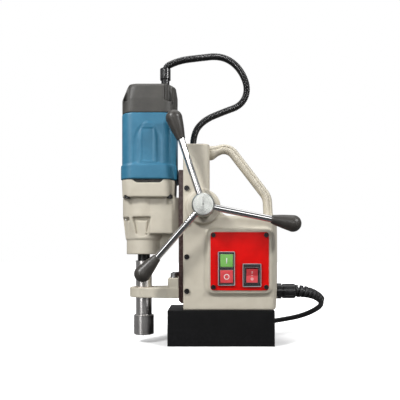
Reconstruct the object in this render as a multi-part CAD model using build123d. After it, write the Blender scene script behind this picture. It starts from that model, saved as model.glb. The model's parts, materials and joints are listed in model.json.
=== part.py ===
from build123d import *
import math
import os

# Magnetic drill press. Millimetres, +Z up, origin at the centre of the magnet's pole face.
# The drill head is towards -X, the control box towards +X, and the feed hub faces -Y.
# The model stands in its lowest feed position.

# ---------------------------------------------------------------- driving dimensions
SEAT = 0.05  # radial gap where a still part sits in its seat
RUN = 0.05  # radial gap of a running fit
GAP = 0.3  # gap between pieces that move past each other

MAGNET_LENGTH, MAGNET_WIDTH, MAGNET_HEIGHT = 165.0, 82.0, 55.0

COLUMN_FRONT, COLUMN_BACK, COLUMN_TOP = -58.6, -17.3, 312.0
HALF_DEPTH = 36.0  # half the depth of column and control box
BOX_TOP = 201.0
BOX_SHOULDER = 80.0  # where the flat side of the control box ends
BOX_BACK = 91.4  # crown of its rounded back
WALL = 5.0

HUB_X, HUB_Z = -27.4, 214.0
HUB_BOSS_RADIUS, HUB_BOSS_FRONT, HUB_BOSS_REAR = 26.5, -43.0, 38.0
HUB_RADIUS, HUB_FRONT, SPOKE_PLANE = 17.0, -75.0, -61.0
SPOKE_RADIUS, SPOKE_INNER, SPOKE_OUTER = 5.0, 8.5, 114.5
KNOB_INNER, KNOB_OUTER, KNOB_BALL = 103.0, 148.6, 12.5
SPOKE_ANGLES = (-11.5, 108.5, 228.5)
PINION_SHAFT_RADIUS = 7.0

DOVETAIL_DEPTH = 8.0
DOVETAIL_MOUTH = 17.0  # half width of the slide's dovetail at the column's front face
DOVETAIL_LEAN = math.tan(math.radians(30))
GIB_WIDTH = 4.4
SLIDE_BOTTOM, SLIDE_TOP = 65.0, 272.0
SLIDE_FRONT, SLIDE_BACK = -65.4, COLUMN_FRONT - GAP
SLIDE_HALF_WIDTH = 31.0

RACK_MODULE, PINION_TEETH = 1.5, 16
RACK_BOTTOM, RACK_TOP = 102.0, 232.0
PINION_HALF_WIDTH = 8.0

SPINDLE_X, MOTOR_X = -123.4, -112.0
MOTOR_PINION_TEETH, LAY_GEAR_TEETH, LAY_MODULE = 14, 48, 0.6
LAY_PINION_TEETH, SPINDLE_GEAR_TEETH, SPINDLE_MODULE = 14, 42, 1.0

CASE_TOP, FLANGE_BOTTOM = 256.4, 229.0
MOTOR_TOP, CAP_SHOULDER, CAP_BROW, CAP_TOP = 357.5, 380.0, 400.0, 405.5
MOTOR_HALF = 42.3
MOTOR_CORNER = 20.0
SHAFT_RADIUS = 5.0
SPINDLE_RADIUS = 10.0
ARBOR_RADIUS, HOLDER_RADIUS = 12.8, 16.1
ARBOR_TOP, HOLDER_TOP, HOLDER_BOTTOM = 131.0, 44.0, 12.6
SOCKET_RADIUS, SOCKET_DEPTH = 9.525, 28.0

PANEL_FACE = -41.5  # front of the raised border that carries the panel
PANEL_THICKNESS = 1.5
PANEL_FRONT = PANEL_FACE - PANEL_THICKNESS
PANEL = (-16.3, 72.8, 86.0, 174.9)  # low X, high X, low Z, high Z

GLAND_Z = 81.6
GLAND_TOP = 440.0  # top of the conduit gland on the motor cap
LEAD_RADIUS = 4.4
CONDUIT_RADIUS = 5.5

# Route of the conduit, from the gland on the motor cap to the top of the column.
CONDUIT_ROUTE = [
    (-88.7, 0.0, 434.0),
    (-88.7, 0.0, 443.5),
    (-77.0, 0.5, 450.0),
    (-60.0, 1.5, 456.0),
    (-36.0, 3.0, 459.5),
    (2.0, 5.0, 464.5),
    (30.5, 7.0, 448.0),
    (47.0, 9.0, 413.5),
    (36.5, 12.0, 386.0),
    (5.0, 15.0, 375.5),
    (-27.0, 17.0, 362.5),
    (-44.4, 18.0, 340.0),
    (-44.4, 18.0, 316.0),
]

# Route of the mains lead, from the strain relief to the coil that lies behind the magnet.
LEAD_ROUTE = [
    (168.5, 23.0, 65.6),
    (172.5, 33.0, 60.0),
    (174.5, 50.0, 51.0),
    (166.0, 68.0, 40.5),
    (149.0, 84.0, 30.0),
    (127.0, 97.0, 23.0),
    (104.0, 110.0, 17.0),
    (82.0, 124.0, 10.5),
    (60.0, 141.0, 5.4),
    (37.0, 156.0, 5.4),
    (14.0, 163.6, 5.4),
]
COIL_CENTRE = (0.0, 115.0)
COIL_RADII = (49.0, 40.2)  # centre lines of the two rings of turns
COIL_LAYERS = 4
COIL_BOTTOM = 1.0
TAIL_ROUTE = [(-10.0, 168.5, 34.6), (-22.0, 168.5, 32.5), (-34.0, 166.5, 26.0), (-45.0, 163.0, 17.5), (-55.0, 161.0, 14.0)]
PLUG_LENGTH = 46.0


# ---------------------------------------------------------------- plain shapes
def block(x0, x1, y0, y1, z0, z1):
    """Box between two corners."""
    centre = Pos((x0 + x1) / 2, (y0 + y1) / 2, (z0 + z1) / 2)
    return centre * Box(x1 - x0, y1 - y0, z1 - z0)


def disc_z(x, y, z0, z1, radius, hole=0.0):
    """Upright cylinder, or a ring when it has a hole."""
    shape = Pos(x, y, (z0 + z1) / 2) * Cylinder(radius, z1 - z0)
    if hole:
        shape -= Pos(x, y, (z0 + z1) / 2) * Cylinder(hole, z1 - z0)
    return shape


def disc_y(x, z, y0, y1, radius, hole=0.0):
    """Cylinder or ring along Y."""
    place = Pos(x, (y0 + y1) / 2, z) * Rot(90, 0, 0)
    shape = place * Cylinder(radius, y1 - y0)
    if hole:
        shape -= place * Cylinder(hole, y1 - y0)
    return shape


def disc_x(y, z, x0, x1, radius, hole=0.0):
    """Cylinder or ring along X."""
    place = Pos((x0 + x1) / 2, y, z) * Rot(0, 90, 0)
    shape = place * Cylinder(radius, x1 - x0)
    if hole:
        shape -= place * Cylinder(hole, x1 - x0)
    return shape


def plane_xz(y):
    """Plane whose own X and Y are the model's X and Z, facing -Y."""
    return Plane(origin=(0, y, 0), x_dir=(1, 0, 0), z_dir=(0, -1, 0))


def outline(points, radii=0.0):
    """Closed face from corner points, each rounded by its radius."""
    if radii:
        return make_face(FilletPolyline(*points, radius=radii, close=True))
    return make_face(Polyline(*points, close=True))


def slab_xz(points, y0, y1, radii=0.0):
    """Outline in X and Z, thick along Y."""
    return extrude(plane_xz(y1) * outline(points, radii), amount=y1 - y0)


def slab_xy(points, z0, z1, radii=0.0):
    """Outline in X and Y, thick along Z."""
    return extrude(Pos(0, 0, z0) * outline(points, radii), amount=z1 - z0)


def rounded_plate(x, y, z, length, width, radius):
    """Flat rounded rectangle at a height."""
    return Pos(x, y, z) * RectangleRounded(length, width, radius)


def turned(axis_place, profile):
    """Solid of revolution about a local Z, from radius and height pairs."""
    face = make_face(Polyline(*[(r, 0, h) for r, h in profile], close=True))
    return axis_place * revolve(face, axis=Axis.Z)


def upright_edges(shape, wanted):
    """Vertical edges whose centre passes a test."""
    return [edge for edge in shape.edges().filter_by(Axis.Z) if wanted(edge.center())]


# ---------------------------------------------------------------- gears, bearings, screws
def involute(angle):
    return math.tan(angle) - angle


def gear_outline(teeth, module, phase, backlash=0.16):
    """Stub involute gear with one tooth centred on the phase angle, in degrees."""
    pressure = math.radians(20)
    pitch = teeth * module / 2
    base = pitch * math.cos(pressure)
    root, tip = pitch - 1.05 * module, pitch + 0.8 * module
    half = math.pi / (2 * teeth) - backlash / (2 * pitch)
    start = max(base, root)
    flank = []
    for step in range(5):
        radius = start + (tip - start) * step / 4
        lean = math.acos(min(1.0, base / radius))
        flank.append((radius, half + involute(pressure) - involute(lean)))
    side = [(root, flank[0][1])] * (root < start - 1e-6) + flank
    points = []
    for tooth in range(teeth):
        middle = math.radians(phase) + 2 * math.pi * tooth / teeth
        for radius, offset in side:
            points.append((radius * math.cos(middle - offset), radius * math.sin(middle - offset)))
        for radius, offset in reversed(side):
            points.append((radius * math.cos(middle + offset), radius * math.sin(middle + offset)))
    return outline(points)


def spur_gear(x, y, z0, z1, teeth, module, phase):
    return Pos(x, y, z0) * extrude(gear_outline(teeth, module, phase), amount=z1 - z0)


def bearing(x, y, z0, z1, bore, outer, balls=9):
    """Ball bearing: two rings with the balls between them."""
    third = (outer - bore) * 0.3
    middle = (z0 + z1) / 2
    rings = [disc_z(x, y, z0, z1, bore + third, bore), disc_z(x, y, z0, z1, outer, outer - third)]
    ball_radius = (outer - bore - 2 * third) / 2 - 0.05
    for number in range(balls):
        angle = 2 * math.pi * number / balls
        radius = (outer + bore) / 2
        place = Pos(x + radius * math.cos(angle), y + radius * math.sin(angle), middle)
        rings.append(place * Sphere(ball_radius))
    return rings


def cap_screw(place, head_radius, head_height, shank_radius, shank_length, key):
    """Socket screw: its head stands on local Z = 0 and its shank goes down from there."""
    head = Pos(0, 0, head_height / 2) * Cylinder(head_radius, head_height)
    head -= Pos(0, 0, head_height) * extrude(RegularPolygon(key, 6), amount=-head_height * 0.6)
    shank = Pos(0, 0, -shank_length / 2) * Cylinder(shank_radius, shank_length)
    return place * (head + shank)


def layshaft_place():
    """Centre of the layshaft, from its distances to motor shaft and spindle."""
    to_motor = LAY_MODULE * (MOTOR_PINION_TEETH + LAY_GEAR_TEETH) / 2
    to_spindle = SPINDLE_MODULE * (LAY_PINION_TEETH + SPINDLE_GEAR_TEETH) / 2
    offset = MOTOR_X - SPINDLE_X
    along = (to_spindle**2 - to_motor**2 + offset**2) / (2 * offset)
    return SPINDLE_X + along, math.sqrt(to_spindle**2 - along**2)


LAY_X, LAY_Y = layshaft_place()
MOTOR_MESH = math.degrees(math.atan2(LAY_Y, LAY_X - MOTOR_X))  # motor shaft towards layshaft
SPINDLE_MESH = math.degrees(math.atan2(LAY_Y, LAY_X - SPINDLE_X))  # spindle towards layshaft

CASE_SCREWS = [(MOTOR_X + sx * 33.0, sy * 33.0) for sx in (-1, 1) for sy in (-1, 1)]
GIB_SCREW_X, GIB_SCREW_HEIGHTS = -52.7, (84.3, 137.1, 190.0, 242.8)
BASE_BOLTS = [(x, y) for x in (0.0, 66.0) for y in (-22.0, 22.0)]
PANEL_SCREWS = [(x, z) for x in (-12.0, 68.7) for z in (91.0, 170.5)]


# ---------------------------------------------------------------- magnet
def magnet_core():
    body = block(-MAGNET_LENGTH / 2, MAGNET_LENGTH / 2, -MAGNET_WIDTH / 2, MAGNET_WIDTH / 2, 0, MAGNET_HEIGHT)
    body = fillet(upright_edges(body, lambda c: True), 2.0)
    body = chamfer(body.faces().sort_by(Axis.Z)[-1].edges(), 0.8)
    body -= magnet_ring(139.0, 60.0, 99.0, 22.0, 0.0, 40.0)
    for x, y in BASE_BOLTS:
        body -= disc_z(x, y, 40.5, MAGNET_HEIGHT, 3.0 + SEAT)
    return body


def magnet_ring(length, width, inner_length, inner_width, z0, z1):
    """Racetrack ring of the coil groove."""
    ring = extrude(Pos(0, 0, z0) * SlotOverall(length, width), amount=z1 - z0)
    return ring - extrude(Pos(0, 0, z0) * SlotOverall(inner_length, inner_width), amount=z1 - z0)


def magnet_coil():
    return magnet_ring(137.0, 58.0, 101.0, 24.0, 8.0, 39.0)


def magnet_potting():
    return magnet_ring(139.0 - 2 * SEAT, 60.0 - 2 * SEAT, 99.0 + 2 * SEAT, 22.0 + 2 * SEAT, 0.2, 7.8)


def base_bolts():
    return [
        cap_screw(Pos(x, y, MAGNET_HEIGHT + WALL), 5.0, 6.0, 3.0, WALL + 13.5, 2.6) for x, y in BASE_BOLTS
    ]


# ---------------------------------------------------------------- housing and handle
def control_box_body():
    """Control box: flat sides and a barrelled back."""
    plan = make_face(
        Polyline((BOX_SHOULDER, HALF_DEPTH), (-40, HALF_DEPTH), (-40, -HALF_DEPTH), (BOX_SHOULDER, -HALF_DEPTH))
        + ThreePointArc((BOX_SHOULDER, -HALF_DEPTH), (BOX_BACK, 0), (BOX_SHOULDER, HALF_DEPTH))
    )
    body = extrude(Pos(0, 0, MAGNET_HEIGHT) * plan, amount=BOX_TOP - MAGNET_HEIGHT)
    body = fillet(upright_edges(body, lambda c: c.X > 0), 8.0)
    body = fillet(body.faces().sort_by(Axis.Z)[-1].edges().filter_by(lambda e: e.center().X > -39), 6.5)
    side = make_face(
        Polyline((86.4, MAGNET_HEIGHT), (-45, MAGNET_HEIGHT), (-45, 210), (86.5, 210))
        + ThreePointArc((86.5, 210), (BOX_BACK, 132), (86.4, MAGNET_HEIGHT))
    )
    return body & extrude(plane_xz(50) * side, amount=100)


def column_body():
    body = block(COLUMN_FRONT, COLUMN_BACK, -HALF_DEPTH, HALF_DEPTH, MAGNET_HEIGHT, COLUMN_TOP)
    body = fillet(upright_edges(body, lambda c: c.X > -30), 9.0)
    body = fillet(upright_edges(body, lambda c: c.X < -50), 1.5)
    return fillet(body.faces().sort_by(Axis.Z)[-1].edges(), 1.2)


def panel_border():
    """Raised border round the panel, with sloping sides."""
    low_x, high_x, low_z, high_z = PANEL
    centre = ((low_x + high_x) / 2, (low_z + high_z) / 2)
    wide, tall = high_x - low_x, high_z - low_z
    foot = plane_xz(-HALF_DEPTH + 1) * (Pos(*centre) * RectangleRounded(wide + 17, tall + 19, 14))
    face = plane_xz(PANEL_FACE) * (Pos(*centre) * RectangleRounded(wide + 7.5, tall + 8, 8))
    return loft([foot, face])


def housing_body():
    """Outside of the one-piece casting, before it is hollowed."""
    body = column_body() + control_box_body()
    body += disc_y(HUB_X, HUB_Z, HUB_BOSS_FRONT, HUB_BOSS_REAR, HUB_BOSS_RADIUS)
    web = make_face(
        ThreePointArc((-1.5, 215), (2.5, 205.5), (14, BOX_TOP - 0.2))
        + Polyline((14, BOX_TOP - 0.2), (14, 190), (-12, 190), (-1.5, 215))
    )
    body += extrude(plane_xz(29) * web, amount=58)
    return body + panel_border()


def dovetail_slot():
    mouth = DOVETAIL_MOUTH + GAP
    root = mouth + DOVETAIL_DEPTH * DOVETAIL_LEAN
    back = COLUMN_FRONT + DOVETAIL_DEPTH
    lead_in = 2.0
    narrow = mouth - lead_in * DOVETAIL_LEAN
    points = [
        (COLUMN_FRONT - lead_in, narrow),
        (back, root),
        (back, -root - GIB_WIDTH),
        (COLUMN_FRONT - lead_in, -narrow - GIB_WIDTH),
    ]
    return slab_xy(points, MAGNET_HEIGHT, COLUMN_TOP + 1)


def housing():
    body = housing_body()
    body -= dovetail_slot()
    body -= block(COLUMN_FRONT + 1, -36.4, -8.5, 8.5, 92, COLUMN_TOP + 1)  # rack chamber
    body -= disc_y(HUB_X, HUB_Z, -10, 10, 15.0)  # pinion chamber
    body -= disc_y(HUB_X, HUB_Z, HUB_BOSS_FRONT - 1, HUB_BOSS_REAR + 1, 10.5 + SEAT)
    cavity = block(-11, 78, -30.5, 30.5, MAGNET_HEIGHT + WALL, BOX_TOP - 6.5)
    cavity -= disc_y(HUB_X, HUB_Z, -40, 40, 22.0)
    body -= fillet(upright_edges(cavity, lambda c: c.X > 70), 6.0)
    body -= block(-6.5, 63, -50, -25, 90, 172)  # window behind the panel
    for height in GIB_SCREW_HEIGHTS:
        body -= disc_y(GIB_SCREW_X, height, -HALF_DEPTH - 1, -20, 2.4 + SEAT)
    for x, y in BASE_BOLTS:
        body -= disc_z(x, y, MAGNET_HEIGHT - 1, MAGNET_HEIGHT + WALL + 1, 3.0 + SEAT)
    for x, z in PANEL_SCREWS:
        body -= disc_y(x, z, -45, -33, 1.7 + SEAT)
    body -= disc_x(0, GLAND_Z, 70, 100, 8.0 + SEAT)
    body -= disc_z(-44.4, 18, 262, COLUMN_TOP + 1, 4.4)  # wire way from the conduit
    body -= disc_x(18, 266, -46, -30, 4.4)
    body -= disc_z(-33, 18, 180, 270, 4.4)
    body -= disc_x(18, 184, -35, -8, 4.4)
    return body


def carry_handle():
    path = FilletPolyline(
        (-26, 0, 300.6), (13.0, 0, 314.6), (76.0, 0, 233.0), (78.2, 0, 188), radius=[20.0, 28.0]
    )
    start = Plane(origin=path @ 0, x_dir=(0, 1, 0), z_dir=path % 0)
    bar = sweep(start * RectangleRounded(21.0, 14.6, 6.2), path=path)
    return bar - housing_body()


# ---------------------------------------------------------------- gib and slide
def gib_strip():
    """Brass strip between the slide's dovetail and the screws."""
    inner, outer = DOVETAIL_MOUTH + GAP, DOVETAIL_MOUTH + GAP + GIB_WIDTH - 0.1
    front, back = COLUMN_FRONT + 0.3, COLUMN_FRONT + DOVETAIL_DEPTH - 0.3
    points = [(x, -side - (x - COLUMN_FRONT) * DOVETAIL_LEAN) for x in (front, back) for side in (inner, outer)]
    order = [points[0], points[1], points[3], points[2]]
    return slab_xy(order, 72, 300)


def gib_screws():
    screws = []
    for height in GIB_SCREW_HEIGHTS:
        place = Pos(GIB_SCREW_X, -HALF_DEPTH, height) * Rot(90, 0, 0)
        screws.append(cap_screw(place, 4.0, 2.6, 2.4, 9.2, 2.0))
    return screws


def slide():
    root_x = COLUMN_FRONT + DOVETAIL_DEPTH - GAP
    root = DOVETAIL_MOUTH + (root_x - COLUMN_FRONT) * DOVETAIL_LEAN
    neck = DOVETAIL_MOUTH - GAP * DOVETAIL_LEAN
    plate = block(SLIDE_FRONT, SLIDE_BACK, -SLIDE_HALF_WIDTH, SLIDE_HALF_WIDTH, SLIDE_BOTTOM, SLIDE_TOP)
    plate = chamfer(plate.edges().filter_by(Axis.Y).sort_by(lambda e: e.center().X + e.center().Z)[0], 4.0)
    tail = [(SLIDE_BACK - 1, neck - DOVETAIL_LEAN), (root_x, root), (root_x, -root), (SLIDE_BACK - 1, DOVETAIL_LEAN - neck)]
    return plate + slab_xy(tail, SLIDE_BOTTOM, SLIDE_TOP)


def feed_rack():
    """Toothed bar on the back of the slide, with a tooth gap level with the pinion."""
    back = COLUMN_FRONT + DOVETAIL_DEPTH - GAP
    pitch_line = HUB_X - RACK_MODULE * PINION_TEETH / 2
    pitch = math.pi * RACK_MODULE
    tip, root = pitch_line + 0.8 * RACK_MODULE, pitch_line - 1.05 * RACK_MODULE
    slope = math.tan(math.radians(20))
    half = pitch / 4 - 0.1
    first = math.ceil((RACK_BOTTOM + pitch - HUB_Z) / pitch - 0.5)
    last = math.floor((RACK_TOP - pitch - HUB_Z) / pitch - 0.5)
    points = [(back, RACK_TOP), (back, RACK_BOTTOM), (root, RACK_BOTTOM)]
    for tooth in range(first, last + 1):
        middle = HUB_Z + (tooth + 0.5) * pitch
        low = half + slope * (pitch_line - root)
        high = half - slope * (tip - pitch_line)
        points += [(root, middle - low), (tip, middle - high), (tip, middle + high), (root, middle + low)]
    points.append((root, RACK_TOP))
    return slab_xz(points, -6.5, 6.5)


# ---------------------------------------------------------------- gear case
def gear_case_body():
    flange = loft(
        [
            rounded_plate(MOTOR_X - 1.0, 0, FLANGE_BOTTOM, 81.5, 82, 18.5),
            rounded_plate(MOTOR_X - 1.0, 0, CASE_TOP, 83.5, 84.5, 19),
        ]
    )
    nose = disc_z(SPINDLE_X, 0, 199, FLANGE_BOTTOM + 1, 33.5)
    nose += Pos(SPINDLE_X, 0, 182) * Cone(29.0, 33.5, 34)
    nose += disc_z(SPINDLE_X, 0, 141, 165.5, 27.5)
    side = [(-110, -31), (-76.4, -31), (SLIDE_FRONT, -22), (SLIDE_FRONT, 22), (-76.4, 31), (-110, 31)]
    side_block = slab_xy(side, 173, FLANGE_BOTTOM + 1)
    gusset = slab_xz([(-104, 148), (-97, 148), (-76, 174), (SLIDE_FRONT, 174), (SLIDE_FRONT, 180), (-104, 180)], -9, 9)
    return flange + nose + side_block + gusset


def nose_pocket(angle):
    """Tapered pocket between the ribs of the nose, with a raised panel left in it."""
    bottom, top = 168.0, 199.0
    shape = slab_xz([(-7.5, bottom), (7.5, bottom), (14.5, top), (-14.5, top)], -40, -25.5)
    shape -= slab_xz([(-5.6, bottom - 1), (5.6, bottom - 1), (8.6, top - 5), (-8.6, top - 5)], -28.6, -24)
    return Pos(SPINDLE_X, 0, 0) * Rot(0, 0, angle) * shape


def gear_case():
    body = gear_case_body()
    for angle in (0, -62, 180, 242):
        body -= nose_pocket(angle)
    body -= disc_z(SPINDLE_X, 0, 204, 242, 26.0)  # room for the spindle gear
    body -= disc_z(LAY_X, LAY_Y, 203, 242, 17.0)
    body -= disc_z(MOTOR_X, 0, 226, 242, 20.0)
    body -= disc_z(MOTOR_X, 0, 242, CASE_TOP + 1, 35.0)
    body -= disc_z(LAY_X, LAY_Y, 196.5, 204, 8.0 + SEAT)
    body -= disc_z(SPINDLE_X, 0, 180, 193, 20.0 + SEAT)
    body -= disc_z(SPINDLE_X, 0, 190, 206, 18.0)
    body -= disc_z(SPINDLE_X, 0, 150, 181, 17.0)
    body -= disc_z(SPINDLE_X, 0, 140, 157, 20.0 + SEAT)
    for x, y in CASE_SCREWS:
        body -= disc_z(x, y, 220, CASE_TOP + 1, 2.5 + SEAT)
        body -= disc_z(x, y, 218, FLANGE_BOTTOM + 3, 5.0)
    return body


def gear_cover():
    """Plate under the motor that carries its front bearing and the layshaft's top bearing."""
    plate = disc_z(MOTOR_X, 0, 242.2, 252, 35.0 - SEAT)
    plate -= disc_z(MOTOR_X, 0, 240, 254, 7.0)
    plate -= disc_z(MOTOR_X, 0, 245, 254, 10.0 + SEAT)
    return plate - disc_z(LAY_X, LAY_Y, 241, 248, 8.0 + SEAT)


def gear_case_screws():
    return [
        cap_screw(Pos(x, y, FLANGE_BOTTOM + 3) * Rot(180, 0, 0), 4.2, 4.5, 2.5, 34.0, 2.2) for x, y in CASE_SCREWS
    ]


def spindle_bearings():
    low = bearing(SPINDLE_X, 0, 145, 157, SPINDLE_RADIUS + RUN, 20.0)
    return low + bearing(SPINDLE_X, 0, 181, 193, SPINDLE_RADIUS + RUN, 20.0)


def oil_seal():
    return disc_z(SPINDLE_X, 0, 141.2, 144.9, 20.0, SPINDLE_RADIUS + RUN)


def layshaft_bearings():
    low = bearing(LAY_X, LAY_Y, 196.7, 202.5, 4.0 + RUN, 8.0, balls=7)
    return low + bearing(LAY_X, LAY_Y, 242.2, 248, 4.0 + RUN, 8.0, balls=7)


def layshaft():
    shaft = disc_z(LAY_X, LAY_Y, 197, 247.5, 4.0)
    pinion_phase = SPINDLE_MESH + 180
    shaft += spur_gear(LAY_X, LAY_Y, 205, 221, LAY_PINION_TEETH, SPINDLE_MODULE, pinion_phase)
    gear_phase = MOTOR_MESH + 180 + 180 / LAY_GEAR_TEETH
    return shaft + spur_gear(LAY_X, LAY_Y, 229, 239, LAY_GEAR_TEETH, LAY_MODULE, gear_phase)


# ---------------------------------------------------------------- spindle
def spindle():
    profile = [
        (0, 110), (8, 110), (8, ARBOR_TOP), (9.75, ARBOR_TOP), (9.75, 141),
        (SPINDLE_RADIUS, 141), (SPINDLE_RADIUS, 206.8), (9.0, 206.8), (9.0, 223), (0, 223),
    ]
    return turned(Pos(SPINDLE_X, 0, 0), profile)


def spindle_gear():
    phase = SPINDLE_MESH + 180 / SPINDLE_GEAR_TEETH
    gear = spur_gear(SPINDLE_X, 0, 207, 219, SPINDLE_GEAR_TEETH, SPINDLE_MODULE, phase)
    return gear - disc_z(SPINDLE_X, 0, 206, 220, 9.0 + SEAT)


def arbor():
    """Polished arbor with the socket for the cutter's shank."""
    edge = 0.8
    profile = [
        (0, HOLDER_BOTTOM), (HOLDER_RADIUS - edge, HOLDER_BOTTOM), (HOLDER_RADIUS, HOLDER_BOTTOM + edge),
        (HOLDER_RADIUS, HOLDER_TOP - edge), (HOLDER_RADIUS - edge, HOLDER_TOP), (ARBOR_RADIUS, HOLDER_TOP),
        (ARBOR_RADIUS, ARBOR_TOP), (0, ARBOR_TOP),
    ]
    body = turned(Pos(SPINDLE_X, 0, 0), profile)
    body -= disc_z(SPINDLE_X, 0, HOLDER_BOTTOM - 1, HOLDER_BOTTOM + SOCKET_DEPTH, SOCKET_RADIUS)
    body -= disc_z(SPINDLE_X, 0, 109, ARBOR_TOP + 1, 8.0 + SEAT)
    for turn in (200, 20):
        body -= Pos(SPINDLE_X, 0, 25) * Rot(0, 0, turn) * disc_x(0, 0, 5, 20, 3.2 + SEAT)
    return body


def holder_screws():
    screws = []
    for turn in (200, 20):
        screw = disc_x(0, 0, 10.2, 15.2, 3.2) - disc_x(0, 0, 12.5, 16, 1.5)
        screws.append(Pos(SPINDLE_X, 0, 25) * Rot(0, 0, turn) * screw)
    return screws


# ---------------------------------------------------------------- lower bracket
def lower_bracket():
    plan = Pos(SPINDLE_X, 0) * Circle(22.4)
    plan += make_face(
        Polyline((SPINDLE_X, -22.4), (-84, -32), (SLIDE_FRONT, -32), (SLIDE_FRONT, 32), (-84, 32), (SPINDLE_X, 22.4), close=True)
    )
    body = extrude(Pos(0, 0, 72.8) * plan, amount=15.8)
    body += block(-82.5, SLIDE_FRONT, -30, 30, 88.6, 104)
    body -= disc_z(SPINDLE_X, 0, 72, 90, 16.0 + SEAT)
    for y in (-20, 20):
        body -= disc_z(-73.5, y, 80, 105, 3.0 + SEAT)
    return body


def bracket_bush():
    return disc_z(SPINDLE_X, 0, 72.8, 88.6, 16.0, ARBOR_RADIUS + RUN)


def bracket_bolts():
    return [cap_screw(Pos(-73.5, y, 104), 5.4, 7.6, 3.0, 22.0, 2.8) for y in (-20, 20)]


# ---------------------------------------------------------------- motor
def motor_housing():
    body = extrude(rounded_plate(MOTOR_X, 0, 278, 2 * MOTOR_HALF, 86.6, MOTOR_CORNER), amount=MOTOR_TOP - 278)
    body += extrude(rounded_plate(MOTOR_X, 0, CASE_TOP, 88.0, 89.0, MOTOR_CORNER + 0.8), amount=278 - CASE_TOP)
    body -= disc_z(MOTOR_X, 0, 261, MOTOR_TOP + 1, 37.6)
    body -= disc_z(MOTOR_X, 0, CASE_TOP - 1, 262, 33.0)
    for x, y in CASE_SCREWS:
        body -= disc_z(x, y, CASE_TOP - 1, 268, 2.5 + SEAT)
        body -= disc_z(x, y, 338, MOTOR_TOP + 1, 2.5 + SEAT)
    return body


def motor_end_cap():
    body = extrude(rounded_plate(MOTOR_X, 0, MOTOR_TOP, 84, 86, MOTOR_CORNER), amount=CAP_SHOULDER - MOTOR_TOP)
    brow = rounded_plate(MOTOR_X + 3.8, 0, CAP_BROW, 76.4, 78, 17)
    body += loft([rounded_plate(MOTOR_X, 0, CAP_SHOULDER, 84, 86, MOTOR_CORNER), brow])
    body += loft([brow, rounded_plate(MOTOR_X + 1.2, 0, CAP_TOP, 66.4, 68, 14)])
    body -= disc_z(MOTOR_X, 0, MOTOR_TOP - 1, 392, 35.0)
    for side in (-1, 1):
        near, far = sorted((side * 33.0, side * 46.0))
        body -= block(MOTOR_X - 37.5, MOTOR_X - 29.5, near, far, 376, CAP_TOP + 1)
        body -= block(MOTOR_X + 25.0, MOTOR_X + 36.0, near, far, 376, CAP_TOP + 1)
    body -= disc_z(MOTOR_X, 0, 390, 400, 10.0 + SEAT)
    for x, y in CASE_SCREWS:
        body -= disc_z(x, y, MOTOR_TOP - 1, CAP_TOP, 2.5 + SEAT)
        body -= disc_z(x, y, 372, CAP_TOP + 1, 5.0)
    body -= disc_z(-88.7, 0, 391, CAP_TOP + 1, 5.0 + SEAT)
    return body


def end_cap_screws():
    return [cap_screw(Pos(x, y, 372), 4.4, 4.5, 2.5, 32.0, 2.2) for x, y in CASE_SCREWS]


def armature_shaft():
    shaft = disc_z(MOTOR_X, 0, 241, 399.6, SHAFT_RADIUS)
    return shaft + spur_gear(MOTOR_X, 0, 228, 241.5, MOTOR_PINION_TEETH, LAY_MODULE, MOTOR_MESH)


def armature_core():
    core = disc_z(MOTOR_X, 0, 285, 333, 23.5, SHAFT_RADIUS + SEAT)
    slots = [Pos(MOTOR_X, 0, 309) * Rot(0, 0, 30 * n) * Pos(21, 0, 0) * Box(7, 2.4, 49) for n in range(12)]
    return core - slots


def commutator():
    return disc_z(MOTOR_X, 0, 345, 360, 13.0, SHAFT_RADIUS + SEAT)


def cooling_fan():
    fan = disc_z(MOTOR_X, 0, 264, 266, 31.0) + disc_z(MOTOR_X, 0, 266, 275, 9.0)
    for number in range(14):
        blade = Pos(19.5, 0, 270.4) * Rot(0, 0, 24) * Box(20, 1.4, 9)
        fan += Pos(MOTOR_X, 0, 0) * Rot(0, 0, 360 * number / 14) * blade
    return fan - disc_z(MOTOR_X, 0, 263, 276, SHAFT_RADIUS + SEAT)


def stator():
    return disc_z(MOTOR_X, 0, 286, 332, 37.5, 24.3)


def field_coils():
    return [disc_z(MOTOR_X, 0, z0, z0 + 9, 35.0, 25.5) for z0 in (276.8, 332.2)]


def brush_holders():
    """Brass boxes that guide the brushes on both sides of the commutator."""
    holders = []
    for side in (-1, 1):
        near, far = sorted((MOTOR_X + side * 15.5, MOTOR_X + side * 36.0))
        holder = block(near, far, -6.5, 6.5, 348, 357)
        holders.append(holder - block(near - 1, far + 1, -5.0, 5.0, 349.4, 355.6))
    return holders


def carbon_brushes():
    brushes = []
    for side in (-1, 1):
        near, far = sorted((MOTOR_X + side * 13.3, MOTOR_X + side * 27.0))
        brushes.append(block(near, far, -4.9, 4.9, 349.5, 355.5))
    return brushes


def motor_bearings():
    low = bearing(MOTOR_X, 0, 245.1, 252, SHAFT_RADIUS + RUN, 10.0)
    return low + bearing(MOTOR_X, 0, 392.5, 399.5, SHAFT_RADIUS + RUN, 10.0)


# ---------------------------------------------------------------- feed
def feed_hub():
    profile = [
        (0, 0), (10, 0), (HUB_RADIUS - 3, 3.5), (HUB_RADIUS, 3.5), (HUB_RADIUS, 29.5),
        (HUB_RADIUS - 1.5, 31), (0, 31),
    ]
    hub = turned(Pos(HUB_X, -44, HUB_Z) * Rot(90, 0, 0), profile)
    for angle in SPOKE_ANGLES:
        hub -= spoke_place(angle) * (Pos(0, 0, 14) * Cylinder(SPOKE_RADIUS + SEAT, 12))
    hub -= disc_y(HUB_X, HUB_Z, -48, -43, PINION_SHAFT_RADIUS + SEAT)
    return hub - disc_y(HUB_X, HUB_Z, HUB_FRONT - 1, HUB_FRONT + 2, 0.9)


def spoke_place(angle):
    """Local Z points out along a spoke."""
    return Pos(HUB_X, SPOKE_PLANE, HUB_Z) * Rot(0, 90 - angle, 0)


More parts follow.
